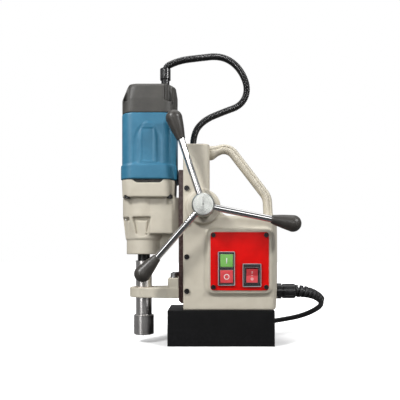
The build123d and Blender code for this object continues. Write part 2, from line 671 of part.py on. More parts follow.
def feed_spokes():
    length = SPOKE_OUTER - SPOKE_INNER
    middle = (SPOKE_OUTER + SPOKE_INNER) / 2
    return [spoke_place(angle) * (Pos(0, 0, middle) * Cylinder(SPOKE_RADIUS, length)) for angle in SPOKE_ANGLES]


def feed_knobs():
    """Tapered knobs with a ball end and a blind hole for the spoke."""
    ball, narrow = KNOB_BALL, 6.5
    centre = KNOB_OUTER - ball
    knobs = []
    for angle in SPOKE_ANGLES:
        taper = turned(Pos(0, 0, 0), [(0, KNOB_INNER), (narrow, KNOB_INNER), (11.9, centre - 3.5), (11.9, centre), (0, centre)])
        knob = taper + Pos(0, 0, centre) * Sphere(ball)
        knob -= Pos(0, 0, (KNOB_INNER + SPOKE_OUTER) / 2) * Cylinder(SPOKE_RADIUS + SEAT, SPOKE_OUTER - KNOB_INNER + 0.6)
        knobs.append(spoke_place(angle) * knob)
    return knobs


def pinion_shaft():
    shaft = disc_y(HUB_X, HUB_Z, -47.8, 43, PINION_SHAFT_RADIUS)
    shaft -= disc_y(HUB_X, HUB_Z, 38.7, 40.3, 8.0, 6.2)
    teeth = plane_xz(PINION_HALF_WIDTH) * (Pos(HUB_X, HUB_Z) * gear_outline(PINION_TEETH, RACK_MODULE, 180))
    return shaft + extrude(teeth, amount=2 * PINION_HALF_WIDTH)


def retaining_ring():
    return disc_y(HUB_X, HUB_Z, 38.8, 40.2, 10.5, 6.2 + SEAT)


def hub_bushes():
    front = disc_y(HUB_X, HUB_Z, HUB_BOSS_FRONT, -10.5, 10.5, PINION_SHAFT_RADIUS + RUN)
    return [front, disc_y(HUB_X, HUB_Z, 10.5, HUB_BOSS_REAR, 10.5, PINION_SHAFT_RADIUS + RUN)]


# ---------------------------------------------------------------- control panel
MOTOR_SWITCH = (-4.9, 20.8, 93.4, 145.1)  # outside of each bezel: low X, high X, low Z, high Z
START_BUTTON = (-1.6, 17.9, 121.4, 140.9)
STOP_BUTTON = (-1.6, 17.9, 97.2, 116.7)
MAGNET_SWITCH = (32.6, 60.9, 91.4, 126.8)
ROCKER = (38.2, 55.3, 98.1, 120.1)
ROCKER_PIVOT_Y = -41.5
ROCKER_TILT = 7.0
TRUNNION_RADIUS, TRUNNION_LENGTH = 1.6, 2.0  # round pins that the rocker turns on
BEZEL_FRONT = PANEL_FRONT - 2.5


def framed(box, grow, y0, y1):
    """Block over a rectangle of the panel, grown on every side."""
    low_x, high_x, low_z, high_z = box
    return block(low_x - grow, high_x + grow, y0, y1, low_z - grow, high_z + grow)


def panel_plate():
    low_x, high_x, low_z, high_z = PANEL
    face = Pos((low_x + high_x) / 2, (low_z + high_z) / 2) * RectangleRounded(high_x - low_x, high_z - low_z, 4.5)
    plate = extrude(plane_xz(PANEL_FACE) * face, amount=PANEL_THICKNESS)
    plate -= framed(MOTOR_SWITCH, -1.2, -50, -30)
    plate -= framed(MAGNET_SWITCH, -1.2, -50, -30)
    for x, z in PANEL_SCREWS:
        plate -= disc_y(x, z, -50, -30, 1.7 + SEAT)
    return plate


def panel_screws():
    return [
        cap_screw(Pos(x, PANEL_FRONT, z) * Rot(90, 0, 0), 3.6, 2.4, 1.7, 9.5, 1.6) for x, z in PANEL_SCREWS
    ]


def switch_case(bezel, wells, depth):
    """Switch body with a bezel that rests on the panel and a well for each key."""
    case = framed(bezel, -1.3, PANEL_FRONT - 0.5, depth) + framed(bezel, 0, BEZEL_FRONT, PANEL_FRONT)
    for well in wells:
        case -= framed(well, 0.35, -60, -27.0)
    return case


def motor_switch():
    return switch_case(MOTOR_SWITCH, (START_BUTTON, STOP_BUTTON), -14.0)


def trunnion_pin(radius, length):
    """Pin along the rocker's axis that stands out by a length on both sides."""
    low_x, high_x, low_z, high_z = ROCKER
    return Pos(0, ROCKER_PIVOT_Y, (low_z + high_z) / 2) * disc_x(0, 0, low_x - length, high_x + length, radius)


def magnet_switch():
    case = switch_case(MAGNET_SWITCH, (ROCKER,), -16.0)
    return case - trunnion_pin(TRUNNION_RADIUS + SEAT, TRUNNION_LENGTH + 0.2)


def push_button(box, front):
    button = framed(box, 0, front, -32.0)
    return fillet(button.faces().sort_by(Axis.Y)[0].edges(), 1.0)


def magnet_rocker():
    """Rocker with its lower half pressed in."""
    low_x, high_x, low_z, high_z = ROCKER
    half = (high_z - low_z) / 2 - 0.7
    side = [(-half, 6.2), (0, 4.2), (half, 6.2), (half - 0.6, -1.5), (5, -4.5), (-5, -4.5), (-half + 0.6, -1.5)]
    face = make_face(Polyline(*[(0, -out, up) for up, out in side], close=True))
    rocker = extrude(face, amount=high_x - low_x, dir=(1, 0, 0))
    rocker = Pos(low_x, ROCKER_PIVOT_Y, (low_z + high_z) / 2) * Rot(ROCKER_TILT, 0, 0) * rocker
    return rocker + trunnion_pin(TRUNNION_RADIUS, TRUNNION_LENGTH)


def circuit_board():
    """Board on its posts, with rectifier, relay and two capacitors."""
    board = [block(2, 66, 20, 21.6, 70, 160)]
    board += [disc_y(x, z, 21.6, 30.4, 3.0) for x in (7, 61) for z in (76, 154)]
    board.append(block(10, 36, 12, 20, 126, 150))
    board.append(block(40, 60, 6, 20, 118, 146))
    board += [disc_y(x, 96, 0, 20, 8.0) for x in (20, 44)]
    return board


# ---------------------------------------------------------------- glands, relief, lead and plug
def mains_gland():
    body = disc_x(0, GLAND_Z, 80, 100.8, 8.0) + disc_x(0, GLAND_Z, 92, 98, 12.5)
    return body + disc_x(0, GLAND_Z, 98, 100.8, 10.0)


def gland_nut():
    nut = disc_x(0, GLAND_Z, 100.8, 121, 11.8)
    for number in range(12):
        turn = Pos(0, 0, GLAND_Z) * Rot(30 * number, 0, 0)
        nut -= turn * disc_x(0, 12.4, 104, 117, 1.1)
    return chamfer(nut.edges().filter_by(lambda e: e.center().X > 120.9), 1.5)


def relief_path():
    return TangentArc((121, 0, GLAND_Z), LEAD_ROUTE[0], tangent=(1, 0, 0))


def strain_relief():
    """Tapered spiral relief: a bent core with rings that get smaller."""
    path = relief_path()
    start = Plane(origin=path @ 0, x_dir=(0, 1, 0), z_dir=path % 0)
    relief = sweep(start * Circle(5.4), path=path)
    rings = 8
    for number in range(rings):
        where = 0.02 + 0.93 * number / (rings - 1)
        radius = 10.2 - 3.6 * where
        place = Plane(origin=path @ where, x_dir=(0, 0, 1), z_dir=path % where)
        shift = 2.0 if number == 0 else 0.0
        relief += place * (Pos(0, 0, shift) * Cylinder(radius, 4.0))
    return relief


def tube(route, radius, name):
    """Round cord along straight runs joined by arcs; prints its radii and checks its volume."""
    points = [Vector(*point) for point in route]
    radii = []
    for before, here, after in zip(points, points[1:], points[2:]):
        turn = (here - before).get_angle(after - here)
        shorter = min((here - before).length, (after - here).length)
        radii.append(0.45 * shorter / math.tan(math.radians(turn) / 2))
    path = FilletPolyline(*route, radius=radii)
    start = Plane(origin=path @ 0, x_dir=(0, 1, 0), z_dir=path % 0)
    cord = sweep(start * Circle(radius), path=path)
    section = math.pi * radius**2
    print(name, "length", round(path.length, 1), "radii", [round(r, 1) for r in radii])
    print(name, "volume / (section x length)", round(cord.volume / (section * path.length), 4))
    return cord


def cord_coil():
    centre_x, centre_y = COIL_CENTRE
    height = COIL_LAYERS * 2 * LEAD_RADIUS
    turns = len(COIL_RADII) * COIL_LAYERS
    print("coil holds", round(turns * math.pi * sum(COIL_RADII)), "mm in", turns, "turns")
    outer, inner = COIL_RADII[0] + LEAD_RADIUS, COIL_RADII[1] - LEAD_RADIUS
    return disc_z(centre_x, centre_y, COIL_BOTTOM, COIL_BOTTOM + height, outer, inner)


def plug():
    """Plain mains plug lying on the floor, with its pins pointing -X."""
    x, y, z = TAIL_ROUTE[-1]
    body = block(x - 34, x - 10, y - 16, y + 16, z - 13, z + 12)
    body = fillet(body.edges(), 4.0) + disc_x(y, z, x - 11, x, 6.5)
    pins = [disc_x(y + side * 9.5, z, x - PLUG_LENGTH, x - 34, 2.4) for side in (-1, 1)]
    return [body] + pins


def conduit_gland():
    """Threaded foot, hexagon and ribbed nut on the motor cap."""
    x, y, seat = CONDUIT_ROUTE[0]
    body = disc_z(x, 0, 394, CAP_TOP + 1, 5.0)
    body += Pos(x, 0, CAP_TOP) * extrude(RegularPolygon(9.4, 6), amount=8)
    body += disc_z(x, 0, CAP_TOP + 8, 425, 6.6)
    body += disc_z(x, 0, 423, GLAND_TOP, 8.5)
    body -= disc_z(x, y, seat, GLAND_TOP + 1, CONDUIT_RADIUS + 0.5)
    for number in range(8):
        body -= Pos(x, 0, 432) * Rot(0, 0, 45 * number) * Pos(9.2, 0, 0) * Cylinder(1.5, 14)
    return body


def conduit_socket():
    x, y, z = CONDUIT_ROUTE[-1]
    return disc_z(x, y, COLUMN_TOP, z, 6.2) + disc_z(x, y, COLUMN_TOP - 6, COLUMN_TOP + 0.5, 4.4 - SEAT)


# ---------------------------------------------------------------- assembly
def build():
    return {
        "magnet_core": magnet_core(),
        "magnet_coil": magnet_coil(),
        "magnet_potting": magnet_potting(),
        "base_bolts": base_bolts(),
        "housing": housing(),
        "carry_handle": carry_handle(),
        "gib_strip": gib_strip(),
        "gib_screws": gib_screws(),
        "hub_bushes": hub_bushes(),
        "panel_plate": panel_plate(),
        "panel_screws": panel_screws(),
        "motor_switch": motor_switch(),
        "start_button": push_button(START_BUTTON, BEZEL_FRONT - 1.2),
        "stop_button": push_button(STOP_BUTTON, BEZEL_FRONT - 2.0),
        "magnet_switch": magnet_switch(),
        "magnet_rocker": magnet_rocker(),
        "circuit_board": circuit_board(),
        "mains_gland": mains_gland(),
        "gland_nut": gland_nut(),
        "strain_relief": strain_relief(),
        "cord_lead": tube(LEAD_ROUTE, LEAD_RADIUS, "cord_lead"),
        "cord_coil": cord_coil(),
        "cord_tail": tube(TAIL_ROUTE, LEAD_RADIUS, "cord_tail"),
        "plug": plug(),
        "conduit_socket": conduit_socket(),
        "flexible_conduit": tube(CONDUIT_ROUTE, CONDUIT_RADIUS, "flexible_conduit"),
        "conduit_gland": conduit_gland(),
        "slide": slide(),
        "feed_rack": feed_rack(),
        "gear_case": gear_case(),
        "gear_case_screws": gear_case_screws(),
        "gear_cover": gear_cover(),
        "spindle_bearings": spindle_bearings(),
        "oil_seal": oil_seal(),
        "layshaft_bearings": layshaft_bearings(),
        "layshaft": layshaft(),
        "spindle": spindle(),
        "spindle_gear": spindle_gear(),
        "arbor": arbor(),
        "holder_screws": holder_screws(),
        "lower_bracket": lower_bracket(),
        "bracket_bush": bracket_bush(),
        "bracket_bolts": bracket_bolts(),
        "motor_housing": motor_housing(),
        "motor_end_cap": motor_end_cap(),
        "end_cap_screws": end_cap_screws(),
        "stator": stator(),
        "field_coils": field_coils(),
        "brush_holders": brush_holders(),
        "carbon_brushes": carbon_brushes(),
        "motor_bearings": motor_bearings(),
        "armature_shaft": armature_shaft(),
        "armature_core": armature_core(),
        "commutator": commutator(),
        "cooling_fan": cooling_fan(),
        "feed_hub": feed_hub(),
        "pinion_shaft": pinion_shaft(),
        "feed_spokes": feed_spokes(),
        "feed_knobs": feed_knobs(),
        "retaining_ring": retaining_ring(),
    }


def main():
    os.makedirs("parts", exist_ok=True)
    for name, shape in build().items():
        if isinstance(shape, list):
            shape = Compound(children=shape)
        export_step(shape, f"parts/{name}.step")


main()
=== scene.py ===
import json
import math

import bmesh
import bpy
from mathutils import Matrix, Vector


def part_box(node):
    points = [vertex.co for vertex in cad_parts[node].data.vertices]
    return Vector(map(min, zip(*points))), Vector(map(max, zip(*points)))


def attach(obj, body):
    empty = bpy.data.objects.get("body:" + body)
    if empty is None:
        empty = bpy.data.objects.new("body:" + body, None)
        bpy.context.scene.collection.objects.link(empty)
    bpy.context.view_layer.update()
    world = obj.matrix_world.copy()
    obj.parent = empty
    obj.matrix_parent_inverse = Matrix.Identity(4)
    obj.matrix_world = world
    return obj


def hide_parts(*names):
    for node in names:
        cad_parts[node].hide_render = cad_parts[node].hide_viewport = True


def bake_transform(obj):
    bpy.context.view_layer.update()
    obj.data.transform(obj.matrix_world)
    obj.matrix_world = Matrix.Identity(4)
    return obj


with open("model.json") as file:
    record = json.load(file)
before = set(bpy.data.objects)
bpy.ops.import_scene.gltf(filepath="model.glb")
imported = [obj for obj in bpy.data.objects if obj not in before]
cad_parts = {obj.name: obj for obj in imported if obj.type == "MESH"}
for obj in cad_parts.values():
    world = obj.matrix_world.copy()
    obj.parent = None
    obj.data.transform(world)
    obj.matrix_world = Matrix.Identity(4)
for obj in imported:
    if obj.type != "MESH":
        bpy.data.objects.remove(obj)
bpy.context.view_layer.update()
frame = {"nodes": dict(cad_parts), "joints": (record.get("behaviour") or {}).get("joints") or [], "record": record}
NODES = frame["nodes"]
SLOT_OF = {row["node"]: row["material_slot"] for row in frame["record"]["subparts"]}
BODY_OF = {node: body for body, nodes in frame["record"]["behaviour"]["bodies"].items() for node in nodes}
MM = 0.001


def joint_place(name):
    """Pivot of a joint, in metres."""
    return Vector(next(j for j in frame["joints"] if j["name"] == name)["pos_m"])


# ---------------------------------------------------------------- camera
def add_camera():
    """Level camera in front of the drill, at the height of the switch panel."""
    data = bpy.data.cameras.new("camera")
    data.sensor_width = 36.0
    data.lens = 41.2
    data.shift_x = -0.010
    data.shift_y = 0.1325
    data.clip_end = 50.0
    camera = bpy.data.objects.new("camera", data)
    camera.location = (-0.0262, -0.741, 0.143)
    camera.rotation_euler = (math.radians(90), 0, 0)
    bpy.context.scene.collection.objects.link(camera)
    bpy.context.scene.camera = camera


add_camera()


# ---------------------------------------------------------------- mesh helpers
def link(obj):
    """Puts an object into the scene."""
    bpy.context.scene.collection.objects.link(obj)
    return obj


def from_bmesh(name, bm, smooth=True):
    """Object made from a bmesh, with its faces turned outwards."""
    bmesh.ops.recalc_face_normals(bm, faces=bm.faces)
    mesh = bpy.data.meshes.new(name)
    bm.to_mesh(mesh)
    bm.free()
    mesh.polygons.foreach_set("use_smooth", [smooth] * len(mesh.polygons))
    return link(bpy.data.objects.new(name, mesh))


def apply_modifiers(obj):
    """Turns the modified shape into the object's own mesh."""
    graph = bpy.context.evaluated_depsgraph_get()
    mesh = bpy.data.meshes.new_from_object(obj.evaluated_get(graph))
    obj.modifiers.clear()
    obj.data = mesh


def bridge(bm, loops):
    """Faces between each closed loop of vertices and the next."""
    for near, far in zip(loops, loops[1:]):
        for step in range(len(near)):
            after = (step + 1) % len(near)
            bm.faces.new((near[step], near[after], far[after], far[step]))


def sweep(name, points, section, segments, first_normal):
    """Skin along a line of points, with closed ends. section(distance, angle) gives the radius there."""
    bm = bmesh.new()
    normal = Vector(first_normal).normalized()
    rings = []
    travelled = 0.0
    for index, point in enumerate(points):
        ahead = points[min(index + 1, len(points) - 1)]
        behind = points[max(index - 1, 0)]
        tangent = (ahead - behind).normalized()
        normal = (normal - tangent * normal.dot(tangent)).normalized()
        side = tangent.cross(normal)
        if index:
            travelled += (point - points[index - 1]).length
        ring = []
        for step in range(segments):
            angle = 2 * math.pi * step / segments
            outward = normal * math.cos(angle) + side * math.sin(angle)
            ring.append(bm.verts.new(point + outward * section(travelled, angle)))
        rings.append(ring)
    bridge(bm, rings)
    bm.faces.new(rings[0][::-1])
    bm.faces.new(rings[-1])
    return from_bmesh(name, bm)


def lathe(name, profile, place, segments=64):
    """Turned solid from radius and height pairs, about the local Z of a placement matrix."""
    bm = bmesh.new()
    rings = []
    for radius, height in profile:
        if radius < 1e-7:
            rings.append([bm.verts.new(place @ Vector((0, 0, height)))])
            continue
        angles = [2 * math.pi * step / segments for step in range(segments)]
        circle = [Vector((radius * math.cos(a), radius * math.sin(a), height)) for a in angles]
        rings.append([bm.verts.new(place @ corner) for corner in circle])
    for low, high in zip(rings, rings[1:]):
        for step in range(segments):
            after = (step + 1) % segments
            under = [low[step % len(low)], low[after % len(low)]]
            over = [high[after % len(high)], high[step % len(high)]]
            bm.faces.new(list(dict.fromkeys(under + over)))
    return from_bmesh(name, bm)


def prism(name, outline, axis, low, high):
    """Solid from a flat outline: axis is the letter of the direction that it is thick along."""
    orders = {
        "x": lambda a, b, depth: (depth, a, b),
        "y": lambda a, b, depth: (a, depth, b),
        "z": lambda a, b, depth: (a, b, depth),
    }
    put = orders[axis]
    bm = bmesh.new()
    near = [bm.verts.new(put(a, b, low)) for a, b in outline]
    far = [bm.verts.new(put(a, b, high)) for a, b in outline]
    bm.faces.new(near)
    bm.faces.new(far[::-1])
    for index in range(len(outline)):
        after = (index + 1) % len(outline)
        bm.faces.new((near[index], far[index], far[after], near[after]))
    return from_bmesh(name, bm, smooth=False)


def rounded_box(name, low, high, radius, segments=3):
    """Box between two corners, with rounded edges."""
    bm = bmesh.new()
    bmesh.ops.create_cube(bm, size=1.0)
    centre = (Vector(low) + Vector(high)) / 2
    size = Vector(high) - Vector(low)
    for vert in bm.verts:
        vert.co = centre + Vector((vert.co.x * size.x, vert.co.y * size.y, vert.co.z * size.z))
    bmesh.ops.bevel(bm, geom=bm.edges[:], offset=radius, segments=segments, profile=0.5, affect="EDGES")
    return from_bmesh(name, bm)


def cad_copy(name, *nodes):
    """A new mesh with the shape of some CAD nodes, welded."""
    bm = bmesh.new()
    for node in nodes:
        bm.from_mesh(NODES[node].data)
    bmesh.ops.remove_doubles(bm, verts=bm.verts, dist=1e-6)
    return from_bmesh(name, bm, smooth=False)


def carve(obj, cutter):
    """Cuts a closed shape out of another and removes the cutter."""
    modifier = obj.modifiers.new("cut", "BOOLEAN")
    modifier.operation = "DIFFERENCE"
    modifier.solver = "EXACT"
    modifier.object = cutter
    apply_modifiers(obj)
    bpy.data.objects.remove(cutter)


def add_to(obj, *extras):
    """Puts the meshes of other objects into this one."""
    bm = bmesh.new()
    bm.from_mesh(obj.data)
    for extra in extras:
        bm.from_mesh(extra.data)
        bpy.data.objects.remove(extra)
    bm.to_mesh(obj.data)
    bm.free()


def shade_smooth(obj):
    """Shades all faces smoothly."""
    obj.data.polygons.foreach_set("use_smooth", [True] * len(obj.data.polygons))


def cast(obj, voxel, rounds, most_faces=90000):
    """Melts joined solids into one skin with the soft edges of a casting or moulding."""
    remesh = obj.modifiers.new("skin", "REMESH")
    remesh.mode = "VOXEL"
    remesh.voxel_size = voxel
    smooth = obj.modifiers.new("soft", "SMOOTH")
    smooth.factor = 0.5
    smooth.iterations = rounds
    apply_modifiers(obj)
    if len(obj.data.polygons) > most_faces:
        decimate = obj.modifiers.new("fewer", "DECIMATE")
        decimate.ratio = most_faces / len(obj.data.polygons)
        apply_modifiers(obj)
    shade_smooth(obj)


def sharp_by_angle(obj, degrees):
    """Marks the edges that turn more than an angle as sharp, for shading."""
    bm = bmesh.new()
    bm.from_mesh(obj.data)
    for edge in bm.edges:
        if len(edge.link_faces) == 2:
            edge.smooth = edge.calc_face_angle(0.0) < math.radians(degrees)
    bm.to_mesh(obj.data)
    bm.free()


# ---------------------------------------------------------------- cords
LEAD_RADIUS = 4.4 * MM
CONDUIT_RADIUS = 5.5 * MM

CONDUIT_ROUTE = [
    (-0.0887, 0.0, 0.4340),
    (-0.0887, 0.0, 0.4435),
    (-0.0770, 0.0005, 0.4500),
    (-0.0600, 0.0015, 0.4560),
    (-0.0360, 0.0030, 0.4595),
    (0.0020, 0.0050, 0.4645),
    (0.0305, 0.0070, 0.4480),
    (0.0470, 0.0090, 0.4135),
    (0.0365, 0.0120, 0.3860),
    (0.0050, 0.0150, 0.3755),
    (-0.0270, 0.0170, 0.3625),
    (-0.0444, 0.0180, 0.3400),
    (-0.0444, 0.0180, 0.3160),
]
LEAD_ROUTE = [
    (0.1685, 0.0230, 0.0656),
    (0.1725, 0.0330, 0.0600),
    (0.1745, 0.0500, 0.0510),
    (0.1660, 0.0680, 0.0405),
    (0.1490, 0.0840, 0.0300),
    (0.1270, 0.0970, 0.0230),
    (0.1040, 0.1100, 0.0170),
    (0.0820, 0.1240, 0.0105),
    (0.0600, 0.1410, 0.0054),
    (0.0370, 0.1560, 0.0054),
    (0.0140, 0.1636, 0.0054),
]
COIL_CENTRE = Vector((0.0, 0.115))
COIL_RINGS = (0.0490, 0.0402, 0.0560)  # outer ring, inner ring, and where the last turn leaves
COIL_BOTTOM = 0.001
TAIL_ROUTE = [
    (-0.0100, 0.1685, 0.0346),
    (-0.0220, 0.1685, 0.0325),
    (-0.0340, 0.1665, 0.0260),
    (-0.0450, 0.1630, 0.0175),
    (-0.0550, 0.1610, 0.0140),
]


def spline_curve(name, points, bevel):
    """Smooth line that the points steer; with a bevel it is a round cord."""
    data = bpy.data.curves.new(name, "CURVE")
    data.dimensions = "3D"
    data.resolution_u = 8
    spline = data.splines.new("NURBS")
    spline.points.add(len(points) - 1)
    for control, point in zip(spline.points, points):
        control.co = (*point, 1.0)
        control.radius = bevel
    spline.order_u = 3
    spline.use_endpoint_u = True
    if bevel:
        data.bevel_depth = 1.0
        data.bevel_resolution = 6
        data.use_fill_caps = True
    return link(bpy.data.objects.new(name, data))


def along(route, fineness=8):
    """Points of the smooth line that a route steers."""
    guide = spline_curve("guide", route, 0.0)
    guide.data.resolution_u = fineness
    graph = bpy.context.evaluated_depsgraph_get()
    mesh = bpy.data.meshes.new_from_object(guide.evaluated_get(graph))
    points = [vert.co.copy() for vert in mesh.vertices]
    bpy.data.objects.remove(guide)
    bpy.data.meshes.remove(mesh)
    return points


def line_length(points):
    """Length of a line of points."""
    return sum((b - a).length for a, b in zip(points, points[1:]))


def coil_points():
    """Turns of the put-away lead: two rings wide, four layers high, and the last one leaves outwards."""
    order = [0, 1, 1, 0, 0, 1, 1, 0, 2]
    layers = [0, 0, 1, 1, 2, 2, 3, 3, 3]
    first_angle, last_angle, step = 95.0, 2970.0, 22.5
    pull = 1 / math.cos(math.radians(step) / 2)
    points = []
    count = round((last_angle - first_angle) / step)
    for number in range(count + 1):
        angle = first_angle + (last_angle - first_angle) * number / count
        turns = (angle - first_angle) / 360.0
        turn = min(int(turns), len(order) - 2)
        blend = max(0.0, min(1.0, (turns - turn - 0.8) / 0.2))
        radius = COIL_RINGS[order[turn]] * (1 - blend) + COIL_RINGS[order[turn + 1]] * blend
        layer = layers[turn] * (1 - blend) + layers[turn + 1] * blend
        height = COIL_BOTTOM + LEAD_RADIUS + layer * 2 * LEAD_RADIUS
        x = COIL_CENTRE.x + radius * pull * math.cos(math.radians(angle))
        y = COIL_CENTRE.y + radius * pull * math.sin(math.radians(angle))
        points.append((x, y, height))
    return points


def add_lead():
    """Mains lead: from the strain relief down to the floor, wound into its coil, and on to the plug."""
    route = LEAD_ROUTE + coil_points() + TAIL_ROUTE
    lead = spline_curve("mains_lead", route, LEAD_RADIUS)
    length = line_length(along(route))
    print("mains lead", round(length, 3), "m")
    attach(lead, "frame")
    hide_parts("cord_lead", "cord_coil", "cord_tail")
    return lead, length


def add_conduit():
    """Corrugated conduit between the motor cap and the column."""
    pitch, depth = 2.4 * MM, 0.65 * MM

    def section(distance, angle):
        return CONDUIT_RADIUS - depth * (0.5 - 0.5 * math.cos(2 * math.pi * distance / pitch))

    points = along(CONDUIT_ROUTE, fineness=72)
    conduit = sweep("conduit_hose", points, section, 24, (0, 1, 0))
    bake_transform(conduit)
    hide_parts("flexible_conduit")
    return conduit


lead, lead_length = add_lead()
conduit = add_conduit()


# ---------------------------------------------------------------- materials
def new_material(name):
    """Material with its nodes and links."""
    material = bpy.data.materials.new(name)
    material.use_nodes = True
    return material, material.node_tree.nodes, material.node_tree.links


def noise(nodes, links, coordinates, scale, detail=3.0, roughness=0.55):
    """Noise value at some coordinates; scale is in waves per metre."""
    texture = nodes.new("ShaderNodeTexNoise")
    texture.inputs["Scale"].default_value = scale
    texture.inputs["Detail"].default_value = detail
    texture.inputs["Roughness"].default_value = roughness
    links.new(coordinates, texture.inputs["Vector"])
    return texture.outputs["Fac"]


def remap(nodes, links, value, low, high, new_low, new_high):
    """Value carried linearly from one range to another, and kept inside it."""
    node = nodes.new("ShaderNodeMapRange")
    links.new(value, node.inputs["Value"])
    node.inputs["From Min"].default_value = low
    node.inputs["From Max"].default_value = high
    node.inputs["To Min"].default_value = new_low
    node.inputs["To Max"].default_value = new_high
    return node.outputs["Result"]


def mix_colour(nodes, links, factor, first, second):
    """Mix of two colours, each of them a tuple or a socket."""
    node = nodes.new("ShaderNodeMix")
    node.data_type = "RGBA"
    links.new(factor, node.inputs["Factor"])
    for value, socket in ((first, node.inputs["A"]), (second, node.inputs["B"])):
        if isinstance(value, tuple):
            socket.default_value = (*value, 1.0)
        else:
            links.new(value, socket)
    return node.outputs["Result"]


def stretched(nodes, links, coordinates, scale):
    """Coordinates scaled by axis, so that a pattern is drawn out along the small ones."""
    node = nodes.new("ShaderNodeMapping")
    node.inputs["Scale"].default_value = scale
    links.new(coordinates, node.inputs["Vector"])
    return node.outputs["Vector"]


def bump(nodes, links, height, depth, strength):
    """Normal bent by a height pattern; depth is in metres."""
    node = nodes.new("ShaderNodeBump")
    node.inputs["Strength"].default_value = strength
    node.inputs["Distance"].default_value = depth
    links.new(height, node.inputs["Height"])
    return node.outputs["Normal"]


MATERIALS = {}


def surface(
    name,
    dark,
    light,
    rough,
    metallic=0.0,
    mottle=60.0,
    grain=900.0,
    grain_depth=0.00008,
    grain_strength=0.35,
    stretch=None,
    wear=None,
    hollow_shade=None,
    coat=0.0,
    specular=0.5,
):
    """Paint, plastic or metal: mottled colour, uneven gloss, fine grain, painted shade darkening the hollows, and
    wear where edges stand out.
    """
    material, nodes, links = new_material(name)
    shader = nodes["Principled BSDF"]
    place = nodes.new("ShaderNodeTexCoord").outputs["Object"]
    patches = remap(nodes, links, noise(nodes, links, place, mottle), 0.3, 0.7, 0, 1)
    colour = mix_colour(nodes, links, patches, dark, light)
    edge = nodes.new("ShaderNodeNewGeometry").outputs["Pointiness"]
    # Painted shade: where the surface is hollow, by pointiness, the colour is darkened towards the given dark
    # colour.
    if hollow_shade:
        hollow_shade_mask = remap(nodes, links, edge, 0.40, 0.49, 0.65, 0.0)
        colour = mix_colour(nodes, links, hollow_shade_mask, colour, hollow_shade)
    if wear:
        patchy = noise(nodes, links, place, 220.0, detail=4.0)
        ridge = remap(nodes, links, edge, 0.56, 0.70, 0.0, 0.45)
        product = nodes.new("ShaderNodeMath")
        product.operation = "MULTIPLY"
        links.new(ridge, product.inputs[0])
        links.new(remap(nodes, links, patchy, 0.45, 0.62, 0.0, 1.0), product.inputs[1])
        colour = mix_colour(nodes, links, product.outputs["Value"], colour, wear)
    links.new(colour, shader.inputs["Base Color"])
    grain_place = stretched(nodes, links, place, stretch) if stretch else place
    fine = noise(nodes, links, grain_place, grain, detail=2.0)
    links.new(remap(nodes, links, fine, 0.3, 0.7, rough[0], rough[1]), shader.inputs["Roughness"])
    links.new(bump(nodes, links, fine, grain_depth, grain_strength), shader.inputs["Normal"])
    shader.inputs["Metallic"].default_value = metallic
    shader.inputs["Specular IOR Level"].default_value = specular
    shader.inputs["Coat Weight"].default_value = coat
    MATERIALS[name] = material


ALONG_Z = (1.0, 1.0, 0.03)  # grain drawn out up and down
AROUND_Z = (0.02, 0.02, 1.0)  # rings about an upright axis

CREAM = ((0.56, 0.515, 0.42), (0.615, 0.57, 0.47))

# Its darker colour in the hollows is painted shade.
surface(
    "cream_paint", *CREAM, (0.34, 0.5), grain=700.0, grain_depth=0.00010, grain_strength=0.25,
    hollow_shade=(0.33, 0.29, 0.22), wear=(0.70, 0.66, 0.58),
)
surface(
    "cream_handle", *CREAM, (0.38, 0.46), grain=700.0, grain_depth=0.00001, grain_strength=0.05,
)
# Its darker colour in the hollows is painted shade.
surface(
    "blue_plastic", (0.022, 0.155, 0.265), (0.034, 0.190, 0.315), (0.36, 0.52), grain=1500.0,
    grain_depth=0.00014, grain_strength=0.5, hollow_shade=(0.012, 0.07, 0.13), wear=(0.10, 0.30, 0.43),
)
# Its darker colour in the hollows is painted shade.
surface(
    "dark_plastic", (0.042, 0.040, 0.036), (0.060, 0.057, 0.050), (0.42, 0.58), grain=1300.0,
    grain_depth=0.00022, grain_strength=0.7, hollow_shade=(0.015, 0.014, 0.013), wear=(0.12, 0.115, 0.105),
)
surface(
    "magnet_paint", (0.004, 0.004, 0.0045), (0.006, 0.006, 0.0065), (0.34, 0.42), grain=500.0,
    grain_depth=0.00003, grain_strength=0.12, wear=(0.03, 0.03, 0.033), specular=0.3,
)
surface(
    "red_paint", (0.62, 0.002, 0.001), (0.78, 0.003, 0.002), (0.14, 0.24), mottle=35.0, grain=400.0,
    grain_depth=0.00003, grain_strength=0.2, coat=0.3,
)
surface(
    "knob_plastic", (0.040, 0.036, 0.032), (0.055, 0.050, 0.044), (0.34, 0.44), grain=500.0,
    grain_depth=0.00004, grain_strength=0.2, wear=(0.09, 0.085, 0.08),
)
surface(
    "switch_plastic", (0.022, 0.022, 0.023), (0.034, 0.034, 0.036), (0.22, 0.34), grain=900.0,
    grain_depth=0.00004, grain_strength=0.25,
)
